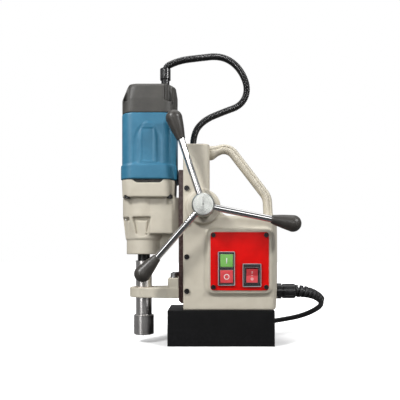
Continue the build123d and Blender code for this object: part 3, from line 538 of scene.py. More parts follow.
# Light grey for the thin rims on the switches: painted highlight on their edges.
surface(
    "switch_rim", (0.36, 0.36, 0.37), (0.46, 0.46, 0.47), (0.30, 0.42), grain=900.0,
    grain_depth=0.00004, grain_strength=0.25,
)
surface(
    "green_button", (0.17, 0.44, 0.09), (0.21, 0.50, 0.12), (0.26, 0.36), mottle=120.0, grain=900.0,
    grain_depth=0.00004, grain_strength=0.2, wear=(0.35, 0.6, 0.28),
)
surface(
    "red_button", (0.62, 0.05, 0.06), (0.72, 0.08, 0.09), (0.26, 0.36), mottle=120.0, grain=900.0,
    grain_depth=0.00004, grain_strength=0.2, wear=(0.8, 0.3, 0.3),
)
surface(
    "mark_white", (0.82, 0.81, 0.79), (0.9, 0.9, 0.88), (0.4, 0.5), mottle=300.0, grain=900.0,
    grain_depth=0.00003, grain_strength=0.2,
)
surface(
    "gland_plastic", (0.012, 0.012, 0.013), (0.020, 0.020, 0.021), (0.16, 0.28), grain=700.0,
    grain_depth=0.00004, grain_strength=0.2, wear=(0.06, 0.06, 0.065),
)
surface(
    "conduit_plastic", (0.005, 0.005, 0.0055), (0.009, 0.009, 0.0095), (0.20, 0.32), grain=800.0,
    grain_depth=0.00005, grain_strength=0.3,
)
surface(
    "rubber", (0.011, 0.011, 0.012), (0.019, 0.019, 0.020), (0.38, 0.54), grain=1100.0,
    grain_depth=0.00006, grain_strength=0.4, wear=(0.05, 0.05, 0.05),
)
surface(
    "black_steel", (0.014, 0.014, 0.014), (0.024, 0.024, 0.024), (0.28, 0.42), metallic=0.4, grain=900.0,
    grain_depth=0.00005, grain_strength=0.3, wear=(0.12, 0.12, 0.12),
)
surface(
    "steel", (0.42, 0.42, 0.42), (0.52, 0.52, 0.52), (0.24, 0.40), metallic=1.0, grain=700.0,
    grain_depth=0.00004, grain_strength=0.3,
)
surface(
    "polished_steel", (0.70, 0.68, 0.66), (0.80, 0.78, 0.76), (0.28, 0.34), metallic=1.0, grain=300.0,
    stretch=AROUND_Z, grain_depth=0.000002, grain_strength=0.02,
)
surface(
    "chrome", (0.60, 0.60, 0.60), (0.70, 0.70, 0.70), (0.05, 0.10), metallic=1.0, mottle=30.0,
    grain=600.0, grain_depth=0.000008, grain_strength=0.15,
)
surface(
    "cast_aluminium", (0.40, 0.40, 0.40), (0.55, 0.55, 0.55), (0.35, 0.55), metallic=1.0, grain=900.0,
    grain_depth=0.0001, grain_strength=0.5,
)
surface(
    "brass", (0.52, 0.35, 0.12), (0.66, 0.47, 0.18), (0.22, 0.36), metallic=1.0, grain=800.0,
    grain_depth=0.00003, grain_strength=0.3,
)
surface(
    "bronze", (0.36, 0.21, 0.09), (0.48, 0.30, 0.14), (0.28, 0.42), metallic=1.0, grain=800.0,
    grain_depth=0.00004, grain_strength=0.3,
)
surface(
    "copper", (0.50, 0.20, 0.09), (0.66, 0.29, 0.14), (0.25, 0.4), metallic=1.0, grain=3000.0,
    stretch=AROUND_Z, grain_depth=0.0001, grain_strength=0.6,
)
surface(
    "resin", (0.030, 0.026, 0.022), (0.045, 0.040, 0.034), (0.18, 0.34), grain=300.0, grain_depth=0.0001,
    grain_strength=0.3,
)
surface(
    "slide_brown", (0.028, 0.009, 0.007), (0.046, 0.015, 0.012), (0.28, 0.42), grain=900.0,
    stretch=ALONG_Z, grain_depth=0.00004, grain_strength=0.4, wear=(0.16, 0.13, 0.12),
)
surface(
    "circuit_board", (0.01, 0.10, 0.035), (0.02, 0.15, 0.05), (0.3, 0.45), mottle=400.0, grain=900.0,
    grain_depth=0.00005, grain_strength=0.3,
)
surface(
    "carbon", (0.02, 0.02, 0.02), (0.035, 0.035, 0.035), (0.4, 0.6), grain=1500.0, grain_depth=0.0001,
    grain_strength=0.5,
)
surface(
    "laminations", (0.16, 0.16, 0.165), (0.30, 0.30, 0.31), (0.3, 0.5), metallic=0.9, mottle=2500.0,
    grain=1500.0, stretch=AROUND_Z, grain_depth=0.0001, grain_strength=0.7,
)


def add_turned_aluminium():
    """Aluminium turned about the feed hub's axis, with fine circular tool marks."""
    material, nodes, links = new_material("turned_aluminium")
    shader = nodes["Principled BSDF"]
    place = nodes.new("ShaderNodeTexCoord").outputs["Object"]
    pivot = joint_place("capstan_turn")
    shift = nodes.new("ShaderNodeVectorMath")
    shift.operation = "SUBTRACT"
    shift.inputs[1].default_value = pivot
    links.new(place, shift.inputs[0])
    flat = nodes.new("ShaderNodeVectorMath")
    flat.operation = "MULTIPLY"
    flat.inputs[1].default_value = (1.0, 0.0, 1.0)
    links.new(shift.outputs["Vector"], flat.inputs[0])
    reach = nodes.new("ShaderNodeVectorMath")
    reach.operation = "LENGTH"
    links.new(flat.outputs["Vector"], reach.inputs[0])
    rings = nodes.new("ShaderNodeTexNoise")
    rings.noise_dimensions = "1D"
    rings.inputs["Scale"].default_value = 1600.0
    rings.inputs["Detail"].default_value = 3.0
    links.new(reach.outputs["Value"], rings.inputs["W"])
    patches = remap(nodes, links, noise(nodes, links, place, 160.0), 0.3, 0.7, 0, 1)
    colour = mix_colour(nodes, links, patches, (0.52, 0.54, 0.51), (0.68, 0.69, 0.66))
    links.new(colour, shader.inputs["Base Color"])
    links.new(remap(nodes, links, rings.outputs["Fac"], 0.3, 0.7, 0.22, 0.38), shader.inputs["Roughness"])
    links.new(bump(nodes, links, rings.outputs["Fac"], 0.00003, 0.5), shader.inputs["Normal"])
    tangent = nodes.new("ShaderNodeTangent")
    tangent.direction_type = "RADIAL"
    tangent.axis = "Y"
    links.new(tangent.outputs["Tangent"], shader.inputs["Tangent"])
    shader.inputs["Metallic"].default_value = 1.0
    shader.inputs["Anisotropic"].default_value = 0.75
    MATERIALS["turned_aluminium"] = material


add_turned_aluminium()


def paint(obj, material):
    """Gives a piece its material."""
    obj.data.materials.clear()
    obj.data.materials.append(MATERIALS[material])


def place_piece(obj, body, material, *stands_for, slot=None):
    """A finished piece: it rides on its body, has its material, and hides the CAD nodes it stands for."""
    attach(obj, body)
    paint(obj, material)
    if stands_for:
        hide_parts(*stands_for)


# ---------------------------------------------------------------- castings and mouldings
def move_surface(obj, shift):
    """Moves each vertex by shift(place, normal), a small offset."""
    vertices = obj.data.vertices
    places = [vert.co.copy() for vert in vertices]
    normals = [vert.normal.copy() for vert in vertices]
    moved = [place + shift(place, normal) for place, normal in zip(places, normals)]
    vertices.foreach_set("co", [number for place in moved for number in place])
    obj.data.update()


def smooth_step(value, low, high):
    """Eased share of the way from low to high, between 0 and 1."""
    share = max(0.0, min(1.0, (value - low) / (high - low)))
    return share * share * (3 - 2 * share)


def add_housing():
    """Column and control box, cast in one."""
    housing = cad_copy("housing_casting", "housing")
    cast(housing, voxel=1.4 * MM, rounds=5)
    place_piece(housing, "frame", "cream_paint", "housing")


def rounded_path(points, radii, spacing):
    """Closely spaced points of straight runs that are joined by arcs."""
    corners = [Vector(point) for point in points]
    path = [corners[0]]

    def walk_to(end):
        start = path[-1]
        steps = max(1, round((end - start).length / spacing))
        path.extend(start.lerp(end, step / steps) for step in range(1, steps + 1))

    for before, here, after, radius in zip(corners, corners[1:], corners[2:], radii):
        into, out = (here - before).normalized(), (after - here).normalized()
        turn = into.angle(out)
        setback = radius * math.tan(turn / 2)
        walk_to(here - into * setback)
        centre = path[-1] + (out - into * into.dot(out)).normalized() * radius
        axis = into.cross(out).normalized()
        arm = path[-1] - centre
        steps = max(2, round(radius * turn / spacing))
        shares = [step / steps for step in range(1, steps + 1)]
        path.extend(centre + Matrix.Rotation(turn * share, 3, axis) @ arm for share in shares)
    walk_to(corners[-1])
    return path


def add_handle():
    """Cast handle with a parting groove along its front and back, and flared roots."""
    corners = [(-0.020, 0, 0.3028), (0.013, 0, 0.3146), (0.076, 0, 0.233), (0.0781, 0, 0.191)]
    bends = [0.020, 0.028]
    path = rounded_path(corners, bends, spacing=0.0016)
    total = line_length(path)
    half_width, half_height, squareness = 0.0103, 0.0072, 2.7

    def section(distance, angle):
        across, up = abs(math.cos(angle)) / half_width, abs(math.sin(angle)) / half_height
        radius = (across**squareness + up**squareness) ** (-1 / squareness)
        side_angle = math.atan2(math.sin(angle), abs(math.cos(angle)))
        groove = 0.0018 * math.exp(-(((side_angle + 0.16) / 0.085) ** 2))
        rail = 0.0004 * smooth_step(side_angle, -0.10, 0.05) * smooth_step(-side_angle, -1.2, -0.6)
        upper_root = 0.0038 * math.exp(-(((distance - 0.0045) / 0.0085) ** 2))
        lower_root = 0.0026 * math.exp(-(((total - distance) / 0.010) ** 2))
        return radius - groove + rail + upper_root + lower_root

    handle = sweep("carry_handle_casting", path, section, 112, (0, -1, 0))
    place_piece(handle, "frame", "cream_handle", "carry_handle", slot="cream_paint")


def add_gear_case():
    """Gear case with an air vent under the front of the motor; a dark sheet set into the vent paints its shade."""
    low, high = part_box("gear_case")
    case = cad_copy("gear_case_casting", "gear_case")
    centre = (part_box("motor_housing")[0].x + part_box("motor_housing")[1].x) / 2
    top, front = high.z, low.y
    vent = [
        (centre - 0.0235, top + 0.001), (centre - 0.0215, top - 0.0035), (centre - 0.017, top - 0.0055),
        (centre + 0.0175, top - 0.0055), (centre + 0.0215, top - 0.0035), (centre + 0.0235, top + 0.001),
    ]
    carve(case, prism("vent_cutter", vent, "y", front - 0.002, front + 0.0045))
    cast(case, voxel=1.15 * MM, rounds=3)
    place_piece(case, "carriage", "cream_paint", "gear_case")
    # Painted shade: a dark sheet set into the back of the vent makes it read dark.
    sunk = [(x, min(z, top - 0.0003)) for x, z in vent]
    shade_insert = prism("vent_shade_insert", sunk, "y", front + 0.0032, front + 0.0043)
    place_piece(shade_insert, "carriage", "dark_plastic")


def add_lower_bracket():
    """Bracket that guides the shank of the cutter holder."""
    bracket = cad_copy("lower_bracket_casting", "lower_bracket")
    cast(bracket, voxel=0.9 * MM, rounds=4)
    place_piece(bracket, "carriage", "cream_paint", "lower_bracket")


def add_motor_housing():
    """Blue motor shell with an arched relief and a sunk strip on its front and back."""
    low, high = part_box("motor_housing")
    centre = (low.x + high.x) / 2
    shell = cad_copy("motor_shell", "motor_housing")
    cast(shell, voxel=1.1 * MM, rounds=3)
    ring_top, arch_top = 0.278, 0.3425
    spring = arch_top - 0.030
    outer_half, inner_half, strip_half = 0.0235, 0.0150, 0.0094
    strip_bottom, strip_top = 0.2835, 0.3345

    def arch_distance(x, z, half_width):
        """How far inside an arch of this half width a point is."""
        across = abs(x - centre)
        if z <= spring:
            return half_width - across
        return half_width - math.hypot(across, (z - spring) * half_width / (arch_top - spring))

    def relief(place, normal):
        if abs(normal.y) < 0.6 or abs(place.y) < 0.040 or place.z < ring_top + 0.001:
            return Vector((0, 0, 0))
        fade = smooth_step(place.z, ring_top + 0.001, ring_top + 0.006)
        outer = arch_distance(place.x, place.z, outer_half)
        inner = arch_distance(place.x, place.z - 0.002, inner_half)
        depth = -0.0011 * smooth_step(outer, 0.0, 0.0045)
        depth += 0.0015 * smooth_step(inner, -0.001, 0.0032)
        strip = min(strip_half - abs(place.x - centre), place.z - strip_bottom, strip_top - place.z)
        depth -= 0.0009 * smooth_step(strip, 0.0, 0.0012)
        return Vector((0, math.copysign(1.0, place.y) * depth * fade, 0))

    move_surface(shell, relief)
    place_piece(shell, "carriage", "blue_plastic", "motor_housing")


def add_end_cap():
    """Rear cap of the motor, with ribbed air slots on its sides and a slightly crowned top."""
    low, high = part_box("motor_end_cap")
    centre = (low.x + high.x) / 2
    cap = cad_copy("motor_cap", "motor_end_cap")
    half_width, slots, spacing, half_slot = 0.042, 7, 0.0072, 0.0019
    slot_bottom, slot_top = 0.3625, 0.3865
    for side in (-1, 1):
        edge = centre + side * half_width
        near, far = sorted((edge - side * 0.0032, edge + side * 0.003))
        for number in range(slots):
            y = (number - (slots - 1) / 2) * spacing
            low_corner, high_corner = (near, y - half_slot, slot_bottom), (far, y + half_slot, slot_top)
            carve(cap, rounded_box("slot", low_corner, high_corner, 0.0006))
    cast(cap, voxel=1.0 * MM, rounds=9)

    crown_height = 0.0009

    def crown(place, normal):
        if place.z < high.z - 0.0012 or normal.z < 0.7:
            return Vector((0, 0, 0))
        reach = max(abs(place.x - centre - 0.0012) / 0.033, abs(place.y) / 0.034)
        return Vector((0, 0, -crown_height * smooth_step(reach, 0.35, 1.0)))

    move_surface(cap, crown)
    place_piece(cap, "carriage", "dark_plastic", "motor_end_cap")


# Feed handle: hub, spokes and knobs.
HUB_RADIUS = 0.0170
SPOKE_ANGLES = (-11.5, 108.5, 228.5)
SPOKE_PLANE = -0.061
SPOKE_RADIUS, SPOKE_INNER, SPOKE_OUTER = 0.0050, 0.0085, 0.1145
KNOB_INNER, KNOB_OUTER = 0.1030, 0.1486
KNOB_BALL, KNOB_NARROW, KNOB_WIDE = 0.0125, 0.0065, 0.0119


def along_spoke(angle):
    """Placement with its local Z along a spoke, from the axis of the handle outwards."""
    pivot = joint_place("capstan_turn")
    turn = Matrix.Rotation(math.radians(90 - angle), 4, "Y")
    return Matrix.Translation((pivot.x, SPOKE_PLANE, pivot.z)) @ turn


def add_hub():
    """Turned hub of the feed handle, with a centre mark in its face."""
    pivot = joint_place("capstan_turn")
    low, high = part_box("feed_hub")
    facing = Matrix.Translation((pivot.x, 0, pivot.z)) @ Matrix.Rotation(math.radians(90), 4, "X")
    front, back = -low.y, -high.y
    profile = [
        (0.0, back),
        (0.0095, back),
        (0.0100, back + 0.0004),
        (0.0136, back + 0.0033),
        (0.0163, back + 0.0035),
        (HUB_RADIUS, back + 0.0042),
        (HUB_RADIUS, front - 0.0030),
        (HUB_RADIUS - 0.00015, front - 0.0024),
        (0.0154, front - 0.0004),
        (0.0150, front),
        (0.0014, front),
        (0.0010, front - 0.0003),
        (0.0, front - 0.0012),
    ]
    hub = lathe("feed_hub_turning", profile, facing, segments=128)
    sharp_by_angle(hub, 20)
    place_piece(hub, "capstan", "turned_aluminium", "feed_hub")


def knob_profile():
    """Narrow mouth with a rounded lip, a slightly bulging taper, and a ball end."""
    centre = KNOB_OUTER - KNOB_BALL
    mouth, taper_end = KNOB_INNER + 0.002, centre - 0.0035
    lip = KNOB_NARROW + 0.0001
    profile = [(0.0, KNOB_INNER), (0.0053, KNOB_INNER), (KNOB_NARROW, KNOB_INNER + 0.0009), (lip, mouth)]
    taper_steps, ball_steps = 8, 16
    for step in range(1, taper_steps + 1):
        share = step / taper_steps
        bulge = 0.0004 * math.sin(math.pi * share)
        radius = lip + (KNOB_WIDE - KNOB_NARROW) * share + bulge
        profile.append((radius, mouth + (taper_end - mouth) * share))
    for step in range(1, ball_steps):
        angle = math.radians(-12 + 102 * step / ball_steps)
        profile.append((KNOB_BALL * math.cos(angle), centre + KNOB_BALL * math.sin(angle)))
    profile.append((0.0, KNOB_OUTER))
    return profile


def on_each_spoke(name, profile):
    """The same turned shape on each of the three spokes, in one object."""
    first, *others = [lathe(name, profile, along_spoke(angle)) for angle in SPOKE_ANGLES]
    add_to(first, *others)
    return first


def add_knobs():
    """Knobs on the ends of the spokes."""
    knobs = on_each_spoke("feed_knob_set", knob_profile())
    shade_smooth(knobs)
    place_piece(knobs, "capstan", "knob_plastic", "feed_knobs")


def add_spokes():
    """Plain round bars from the hub into the knobs."""
    inner, outer = SPOKE_INNER, SPOKE_OUTER
    profile = [(0.0, inner), (SPOKE_RADIUS, inner), (SPOKE_RADIUS, outer), (0.0, outer)]
    bars = on_each_spoke("feed_spoke_set", profile)
    sharp_by_angle(bars, 30)
    place_piece(bars, "capstan", "chrome", "feed_spokes")


def add_arbor():
    """Cutter holder on its shank, with the socket for the cutter and two threaded holes for its screws."""
    axis = joint_place("spindle_spin")
    low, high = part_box("arbor")
    holder, shank, socket, bore = 0.0161, 0.0128, 0.009525, 0.0080
    shoulder, socket_top, bore_bottom = 0.0440, low.z + 0.028, 0.109
    edge, socket_edge, top_edge = 0.0008, 0.0006, 0.0005
    profile = [
        (0.0, socket_top),
        (socket, socket_top),
        (socket, low.z + socket_edge),
        (socket + socket_edge, low.z),
        (holder - edge, low.z),
        (holder, low.z + edge),
        (holder, shoulder - edge),
        (holder - edge, shoulder),
        (shank, shoulder),
        (shank, high.z - top_edge),
        (shank - top_edge, high.z),
        (bore, high.z),
        (bore, bore_bottom),
        (0.0, bore_bottom),
    ]
    arbor = lathe("arbor_turning", profile, Matrix.Translation((axis.x, axis.y, 0)), segments=160)
    screw_level = Matrix.Translation((axis.x, axis.y, 0.025))
    thread, mouth = 0.00325, 0.0042
    cutter = [(0.0, 0.005), (thread, 0.005), (thread, 0.0155), (mouth, 0.0166), (mouth, 0.020), (0.0, 0.020)]
    for degrees in (200, 20):
        outwards = Matrix.Rotation(math.radians(degrees), 4, "Z") @ Matrix.Rotation(math.radians(90), 4, "Y")
        hole = screw_level @ outwards
        carve(arbor, lathe("hole", cutter, hole, segments=32))
    sharp_by_angle(arbor, 25)
    place_piece(arbor, "spindle", "polished_steel", "arbor")


GLAND_FACE = (0.121, 0.0, 0.0816)


def add_relief():
    """Tapered spiral strain relief, bent from the gland nut towards the lead."""
    start, end = Vector(GLAND_FACE), Vector(LEAD_ROUTE[0])
    ahead = Vector((1.0, 0.0, 0.0))
    chord = end - start
    side = (chord - ahead * chord.dot(ahead)).normalized()
    radius = chord.length_squared / (2 * chord.dot(side))
    turn = 2 * math.asin(chord.length / (2 * radius))
    length = radius * turn
    steps = 150
    points = []
    for step in range(steps + 1):
        angle = turn * step / steps
        points.append(start + ahead * radius * math.sin(angle) + side * radius * (1 - math.cos(angle)))
    pitch = 0.0080

    def section(distance, angle):
        share = distance / length
        core = 0.0060 - 0.0010 * share
        rib = 0.0102 - 0.0034 * share
        phase = (distance / pitch + angle / (2 * math.pi)) % 1.0
        height = smooth_step(abs(phase - 0.5), 0.17, 0.25)
        ends = smooth_step(distance, 0.0, 0.0008) * smooth_step(length - distance, 0.0, 0.0006)
        return core + (rib - core) * height * ends

    relief = sweep("spiral_relief", points, section, 72, (0, -1, 0))
    place_piece(relief, "frame", "rubber", "strain_relief")


# Switches.
MARK_DEPTH = 0.0006


def mark_ring(name, x, z, front, outer, inner):
    """Flat ring on a key, facing the front."""
    bm = bmesh.new()
    rings = []
    segments, back = 48, front + MARK_DEPTH
    angles = [2 * math.pi * step / segments for step in range(segments)]
    for radius, y in ((outer, back), (outer, front), (inner, front), (inner, back)):
        rings.append([bm.verts.new((x + radius * math.cos(a), y, z + radius * math.sin(a))) for a in angles])
    rings.append(rings[0])
    bridge(bm, rings)
    return from_bmesh(name, bm, smooth=False)


def bezel_frame(name, low_x, high_x, low_z, high_z, width, back, front):
    """Four-sided frame with rounded corners and soft edges, facing the front."""
    radius, edge, shoulder = 0.0014, 0.0004, front + 0.0005
    outer_side = [(0, back), (0, shoulder), (edge, front)]
    inner_side = [(width - edge, front), (width, shoulder), (width, back)]
    bm = bmesh.new()
    loops = []
    for inset, y in outer_side + inner_side:
        loop = []
        for corner_x, corner_z, first in (
            (high_x, high_z, 0), (low_x, high_z, 90), (low_x, low_z, 180), (high_x, low_z, 270),
        ):
            curve = max(0.0003, radius - inset)
            centre_x = corner_x - math.copysign(inset + curve, corner_x - (low_x + high_x) / 2)
            centre_z = corner_z - math.copysign(inset + curve, corner_z - (low_z + high_z) / 2)
            for step in range(5):
                angle = math.radians(first + 22.5 * step)
                x, z = centre_x + curve * math.cos(angle), centre_z + curve * math.sin(angle)
                loop.append(bm.verts.new((x, y, z)))
        loops.append(loop)
    loops.append(loops[0])
    bridge(bm, loops)
    return from_bmesh(name, bm)


def add_rocker_marks():
    """Moulded I, dash and O on the two faces of the rocker."""
    pivot = joint_place("magnet_rock")
    bar = rounded_box("rocker_mark_on", (-0.00045, -0.0002, -0.0019), (0.00045, 0.0004, 0.0019), 0.0001, 1)
    dash = rounded_box("rocker_mark_dash", (-0.0011, -0.0002, -0.0003), (0.0011, 0.0004, 0.0003), 0.0001, 1)
    ring = mark_ring("rocker_mark_off", 0.0, 0.0, -0.0002, 0.0019, 0.0013)
    places = ((bar, 0.00574, 0.00433, 18), (dash, 0.00417, -0.00051, 7), (ring, 0.00452, -0.00559, -4))
    for mark, out, up, degrees in places:
        tilt = Matrix.Rotation(math.radians(degrees), 4, "X")
        mark.data.transform(Matrix.Translation((pivot.x, pivot.y - out, pivot.z + up)) @ tilt)
        place_piece(mark, "magnet_key", "mark_white")


def add_switch_highlight_rims():
    """Light grey outer rim of each switch body, a painted highlight on its edge."""
    for node in ("motor_switch", "magnet_switch"):
        low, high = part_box(node)
        back, front = low.y + 0.0016, low.y - 0.0005
        rim = bezel_frame(node + "_rim", low.x, high.x, low.z, high.z, 0.0011, back, front)
        # The rim's light grey is painted highlight.
        place_piece(rim, "frame", "switch_rim", slot="switch_plastic")


def add_key_highlight_rims():
    """Light grey inner rim round each key, clear of its travel, a painted highlight on the bezel's inner edge."""
    gap, width = 0.0003, 0.0006
    grow = gap + width
    switches = {
        "start_button": "motor_switch",
        "stop_button": "motor_switch",
        "magnet_rocker": "magnet_switch",
    }
    for key, switch in switches.items():
        low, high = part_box(key)
        if key == "magnet_rocker":
            middle = joint_place("magnet_rock").z
            reach = max(high.z - middle, middle - low.z)
            low.z, high.z = middle - reach, middle + reach
        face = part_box(switch)[0].y
        back, front = face + 0.0012, face - 0.0003
        rim = bezel_frame(
            key + "_rim", low.x - grow, high.x + grow, low.z - grow, high.z + grow, width, back, front
        )
        # The rim's light grey is painted highlight.
        place_piece(rim, "frame", "switch_rim", slot="switch_plastic")


def key_face(node):
    """Middle of a key's front face: across, up, and the front of a mark on it."""
    low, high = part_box(node)
    return (low.x + high.x) / 2, (low.z + high.z) / 2, low.y - 0.0002


def add_key_marks():
    """White I on the start key and O on the stop key."""
    x, z, front = key_face("start_button")
    half_width, half_height = 0.0007, 0.0042
    low = (x - half_width, front, z - half_height)
    high = (x + half_width, front + MARK_DEPTH, z + half_height)
    place_piece(rounded_box("start_mark", low, high, 0.0002, 1), "start_key", "mark_white")
    x, z, front = key_face("stop_button")
    place_piece(mark_ring("stop_mark", x, z, front, 0.0042, 0.0031), "stop_key", "mark_white")


# ---------------------------------------------------------------- floor and light
def add_floor():
    """Pale floor with a painted glow that is weak near the part, painting shade round its base, and grows to white
    away from it; it is left out of reflections.
    """
    size, level = 6.0, -0.0003
    bm = bmesh.new()
    corners = [(-size, -size), (size, -size), (size, size), (-size, size)]
    bm.faces.new([bm.verts.new((x, y, level)) for x, y in corners])
    floor = from_bmesh("floor", bm, smooth=False)
    material, nodes, links = new_material("floor")
    shader = nodes["Principled BSDF"]
    place = nodes.new("ShaderNodeTexCoord").outputs["Object"]
    shade = remap(nodes, links, noise(nodes, links, place, 3.0), 0.2, 0.8, 0, 1)
    colour = mix_colour(nodes, links, shade, (0.90, 0.90, 0.90), (0.92, 0.92, 0.92))
    links.new(colour, shader.inputs["Base Color"])
    shader.inputs["Roughness"].default_value = 0.9
    shader.inputs["Specular IOR Level"].default_value = 0.1
    shader.inputs["Emission Color"].default_value = (1.0, 1.0, 1.0, 1.0)
    # Painted glow and shade: the emission strength is weak near the part, darkening the floor round its base, and
    # rises to full further out.
    reach = nodes.new("ShaderNodeVectorMath")
    reach.operation = "LENGTH"
    links.new(place, reach.inputs[0])
    glow = remap(nodes, links, reach.outputs["Value"], 0.10, 0.24, 0.15, 1.1)
    links.new(glow, shader.inputs["Emission Strength"])
    floor.data.materials.append(material)
    floor.visible_diffuse = False
    floor.visible_glossy = False


def area_light(name, place, aim, size, power):
    """Rectangular white lamp at a place, turned towards what it aims at."""
    data = bpy.data.lights.new(name, "AREA")
    data.shape = "RECTANGLE"
    data.size, data.size_y = size
    data.energy = power
    light = bpy.data.objects.new(name, data)
    light.location = place
    light.rotation_euler = (Vector(aim) - Vector(place)).to_track_quat("-Z", "Y").to_euler()
    link(light)


def add_lights():
    """Two small keys, a low front fill, two strips and a broad top light, in a dim surround."""
    area_light("key_left", (-0.95, -0.85, 1.25), (-0.03, 0, 0.2), (0.24, 0.24), 18.5)
    area_light("key_right", (1.0, -0.8, 1.1), (0.0, 0, 0.2), (0.24, 0.24), 11.5)
    area_light("front", (0.1, -1.9, 0.75), (0, 0, 0.2), (1.0, 0.5), 6.0)
    # The strips give the round metal its upright highlights.
    area_light("strip_left", (-0.75, -1.0, 0.35), (0, 0, 0.15), (0.22, 0.9), 3.2)
    area_light("strip_right", (0.95, -0.75, 0.35), (0, 0, 0.15), (0.10, 0.9), 1.2)
    area_light("top", (0.0, 0.3, 1.6), (0, 0, 0.1), (1.2, 1.2), 7.0)
    world = bpy.data.worlds.new("studio")
    bpy.context.scene.world = world
    world.use_nodes = True
    nodes, links = world.node_tree.nodes, world.node_tree.links
    background = nodes["Background"]
    sky = nodes.new("ShaderNodeBackground")
    direction = nodes.new("ShaderNodeTexCoord").outputs["Generated"]
    split = nodes.new("ShaderNodeSeparateXYZ")
    links.new(direction, split.inputs[0])
    height = remap(nodes, links, split.outputs["Z"], -0.1, 0.9, 0.0, 1.0)
    glow = mix_colour(nodes, links, height, (0.55, 0.55, 0.56), (0.95, 0.95, 0.96))
    behind = remap(nodes, links, split.outputs["Y"], -0.75, 0.1, 0.42, 1.0)
    links.new(glow, sky.inputs["Color"])
    strength = nodes.new("ShaderNodeMath")
    strength.operation = "MULTIPLY"
    strength.inputs[1].default_value = 0.36
    links.new(behind, strength.inputs[0])
    links.new(strength.outputs["Value"], sky.inputs["Strength"])
    background.inputs["Color"].default_value = (1.0, 1.0, 1.0, 1.0)
    background.inputs["Strength"].default_value = 1.0
    rays = nodes.new("ShaderNodeLightPath")
    mix = nodes.new("ShaderNodeMixShader")
    links.new(rays.outputs["Is Camera Ray"], mix.inputs["Fac"])
    links.new(sky.outputs["Background"], mix.inputs[1])
    links.new(background.outputs["Background"], mix.inputs[2])
    links.new(mix.outputs["Shader"], nodes["World Output"].inputs["Surface"])
    bpy.context.scene.view_settings.view_transform = "Standard"


# ---------------------------------------------------------------- plug and tie
def add_plug():
    """Moulded mains plug at the end of the lead."""
    low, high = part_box("plug")
    y, z = (low.y + high.y) / 2, 0.014
    half_width, bottom, top = 0.0160, 0.0010, 0.0260
    pin_end, nose_end = -0.0850, -0.0610
    block_low, block_high = (pin_end, y - half_width, bottom), (nose_end, y + half_width, top)
    body = rounded_box("mains_plug", block_low, block_high, 0.0042, 4)
    nose_place = Matrix.Translation((nose_end, y, z)) @ Matrix.Rotation(math.radians(90), 4, "Y")
    nose = [(0.0, -0.003), (0.0085, -0.003), (0.0085, 0.0), (0.0068, 0.0015)]
    valley, ridge, spacing = 0.0052, 0.0062, 0.0025
    for number in range(3):
        start = 0.0018 + spacing * number
        nose += [(valley, start), (valley, start + 0.0008)]
        nose += [(ridge, start + 0.0010), (ridge - 0.0002, start + 0.0020)]
    nose += [(0.0046, 0.0094), (0.0, 0.0098)]
    add_to(body, lathe("grip", nose, nose_place, segments=40))
    place_piece(body, "frame", "rubber", "plug")

    pin = [(0.0, 0.0), (0.0024, 0.0), (0.0024, 0.0118), (0.0018, 0.0128), (0.0, 0.0130)]
    backwards = Matrix.Rotation(math.radians(-90), 4, "Y")
    roots = [(pin_end + 0.0010, y + side * 0.0095, z) for side in (-1, 1)]
    pins = [lathe("pin", pin, Matrix.Translation(root) @ backwards, segments=28) for root in roots]
    pins[0].name = "mains_plug_pins"
    add_to(pins[0], pins[1])
    place_piece(pins[0], "frame", "brass")
    return [body, pins[0]]


def add_tie():
    """Strap round the bundle of turns, on the side away from the plug."""
    angle = math.radians(-35)
    out = Vector((math.cos(angle), math.sin(angle), 0))
    round_the_ring = Vector((-out.y, out.x, 0))
    middle = COIL_CENTRE.to_3d() + out * sum(COIL_RINGS[:2]) / 2
    half_wide, half_high, centre_z = 0.0096, 0.0180, 0.0188
    squareness, segments = 0.45, 72
    outline = []
    for step in range(segments):
        turn = 2 * math.pi * step / segments
        across = math.copysign(abs(math.cos(turn)) ** squareness, math.cos(turn)) * half_wide
        up = math.copysign(abs(math.sin(turn)) ** squareness, math.sin(turn)) * half_high
        outline.append((across, up))
    half_width, slope, floor_gap = 0.0060, 0.0005, 0.0002
    thicker = 1 + 0.0007 / 0.012
    widths = ((-half_width, 1), (slope - half_width, thicker), (half_width - slope, thicker), (half_width, 1))
    bm = bmesh.new()
    loops = []
    for width, scale in widths:
        loop = []
        for across, up in outline:
            place = middle + out * across * scale + round_the_ring * width
            place.z = max(centre_z + up * scale, floor_gap)
            loop.append(bm.verts.new(place))
        loops.append(loop)
    loops.append(loops[0])
    bridge(bm, loops)
    strap = from_bmesh("cord_tie", bm)
    place_piece(strap, "frame", "rubber")
    return strap


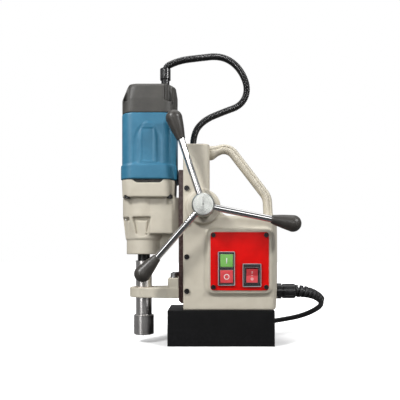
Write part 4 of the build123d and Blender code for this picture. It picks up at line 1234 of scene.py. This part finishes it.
# ---------------------------------------------------------------- making everything
plug_pieces = add_plug()
tie = add_tie()
paint(lead, "rubber")
paint(conduit, "conduit_plastic")
add_relief()
add_housing()
add_handle()
add_gear_case()
add_lower_bracket()
add_motor_housing()
add_end_cap()
add_hub()
add_knobs()
add_spokes()
add_arbor()
add_switch_highlight_rims()
add_key_highlight_rims()
add_rocker_marks()
add_key_marks()


# Parts whose turned or moulded surfaces are shaded smoothly, with the width of their edge rounding.
SMOOTHED = {
    "holder_screws": 0.0002,
    "spindle": 0.0003,
    "pinion_shaft": 0.0,
    "conduit_gland": 0.0004,
    "gland_nut": 0.0006,
    "mains_gland": 0.0005,
    "start_button": 0.0004,
    "stop_button": 0.0004,
    "panel_screws": 0.0002,
    "gear_case_screws": 0.0,
    "gib_screws": 0.0002,
    "bracket_bolts": 0.0002,
    "base_bolts": 0.0002,
    "end_cap_screws": 0.0,
    "conduit_socket": 0.0003,
    "retaining_ring": 0.0,
}


def round_edges(obj, width):
    """Rounds the edges that turn more than 40 degrees."""
    bevel = obj.modifiers.new("edges", "BEVEL")
    bevel.width = width
    bevel.segments = 2
    bevel.limit_method = "ANGLE"
    bevel.angle_limit = math.radians(40)
    return bevel


def add_smoothed_parts():
    """Shape of the CAD part with welded, smoothly shaded faces and rounded edges."""
    for node, width in SMOOTHED.items():
        piece = cad_copy(node + "_smoothed", node)
        shade_smooth(piece)
        sharp_by_angle(piece, 30)
        if width:
            round_edges(piece, width).harden_normals = True
        place_piece(piece, BODY_OF[node], SLOT_OF[node], node)


# Edge rounding of the CAD parts that stay as they are.
BEVELS = {
    "slide": 0.0006,
    "panel_plate": 0.0004,
    "magnet_core": 0.0004,
    "motor_switch": 0.0005,
    "magnet_switch": 0.0005,
    "magnet_rocker": 0.0005,
}


def finish_cad_nodes():
    """Material and soft edges for the CAD parts that stay."""
    for name, obj in NODES.items():
        material = MATERIALS[SLOT_OF[name]]
        if not obj.material_slots:
            obj.data.materials.append(material)
        for material_slot in obj.material_slots:
            material_slot.material = material
        if name in BEVELS and not obj.hide_render:
            round_edges(obj, BEVELS[name])


add_smoothed_parts()
finish_cad_nodes()
add_floor()
add_lights()
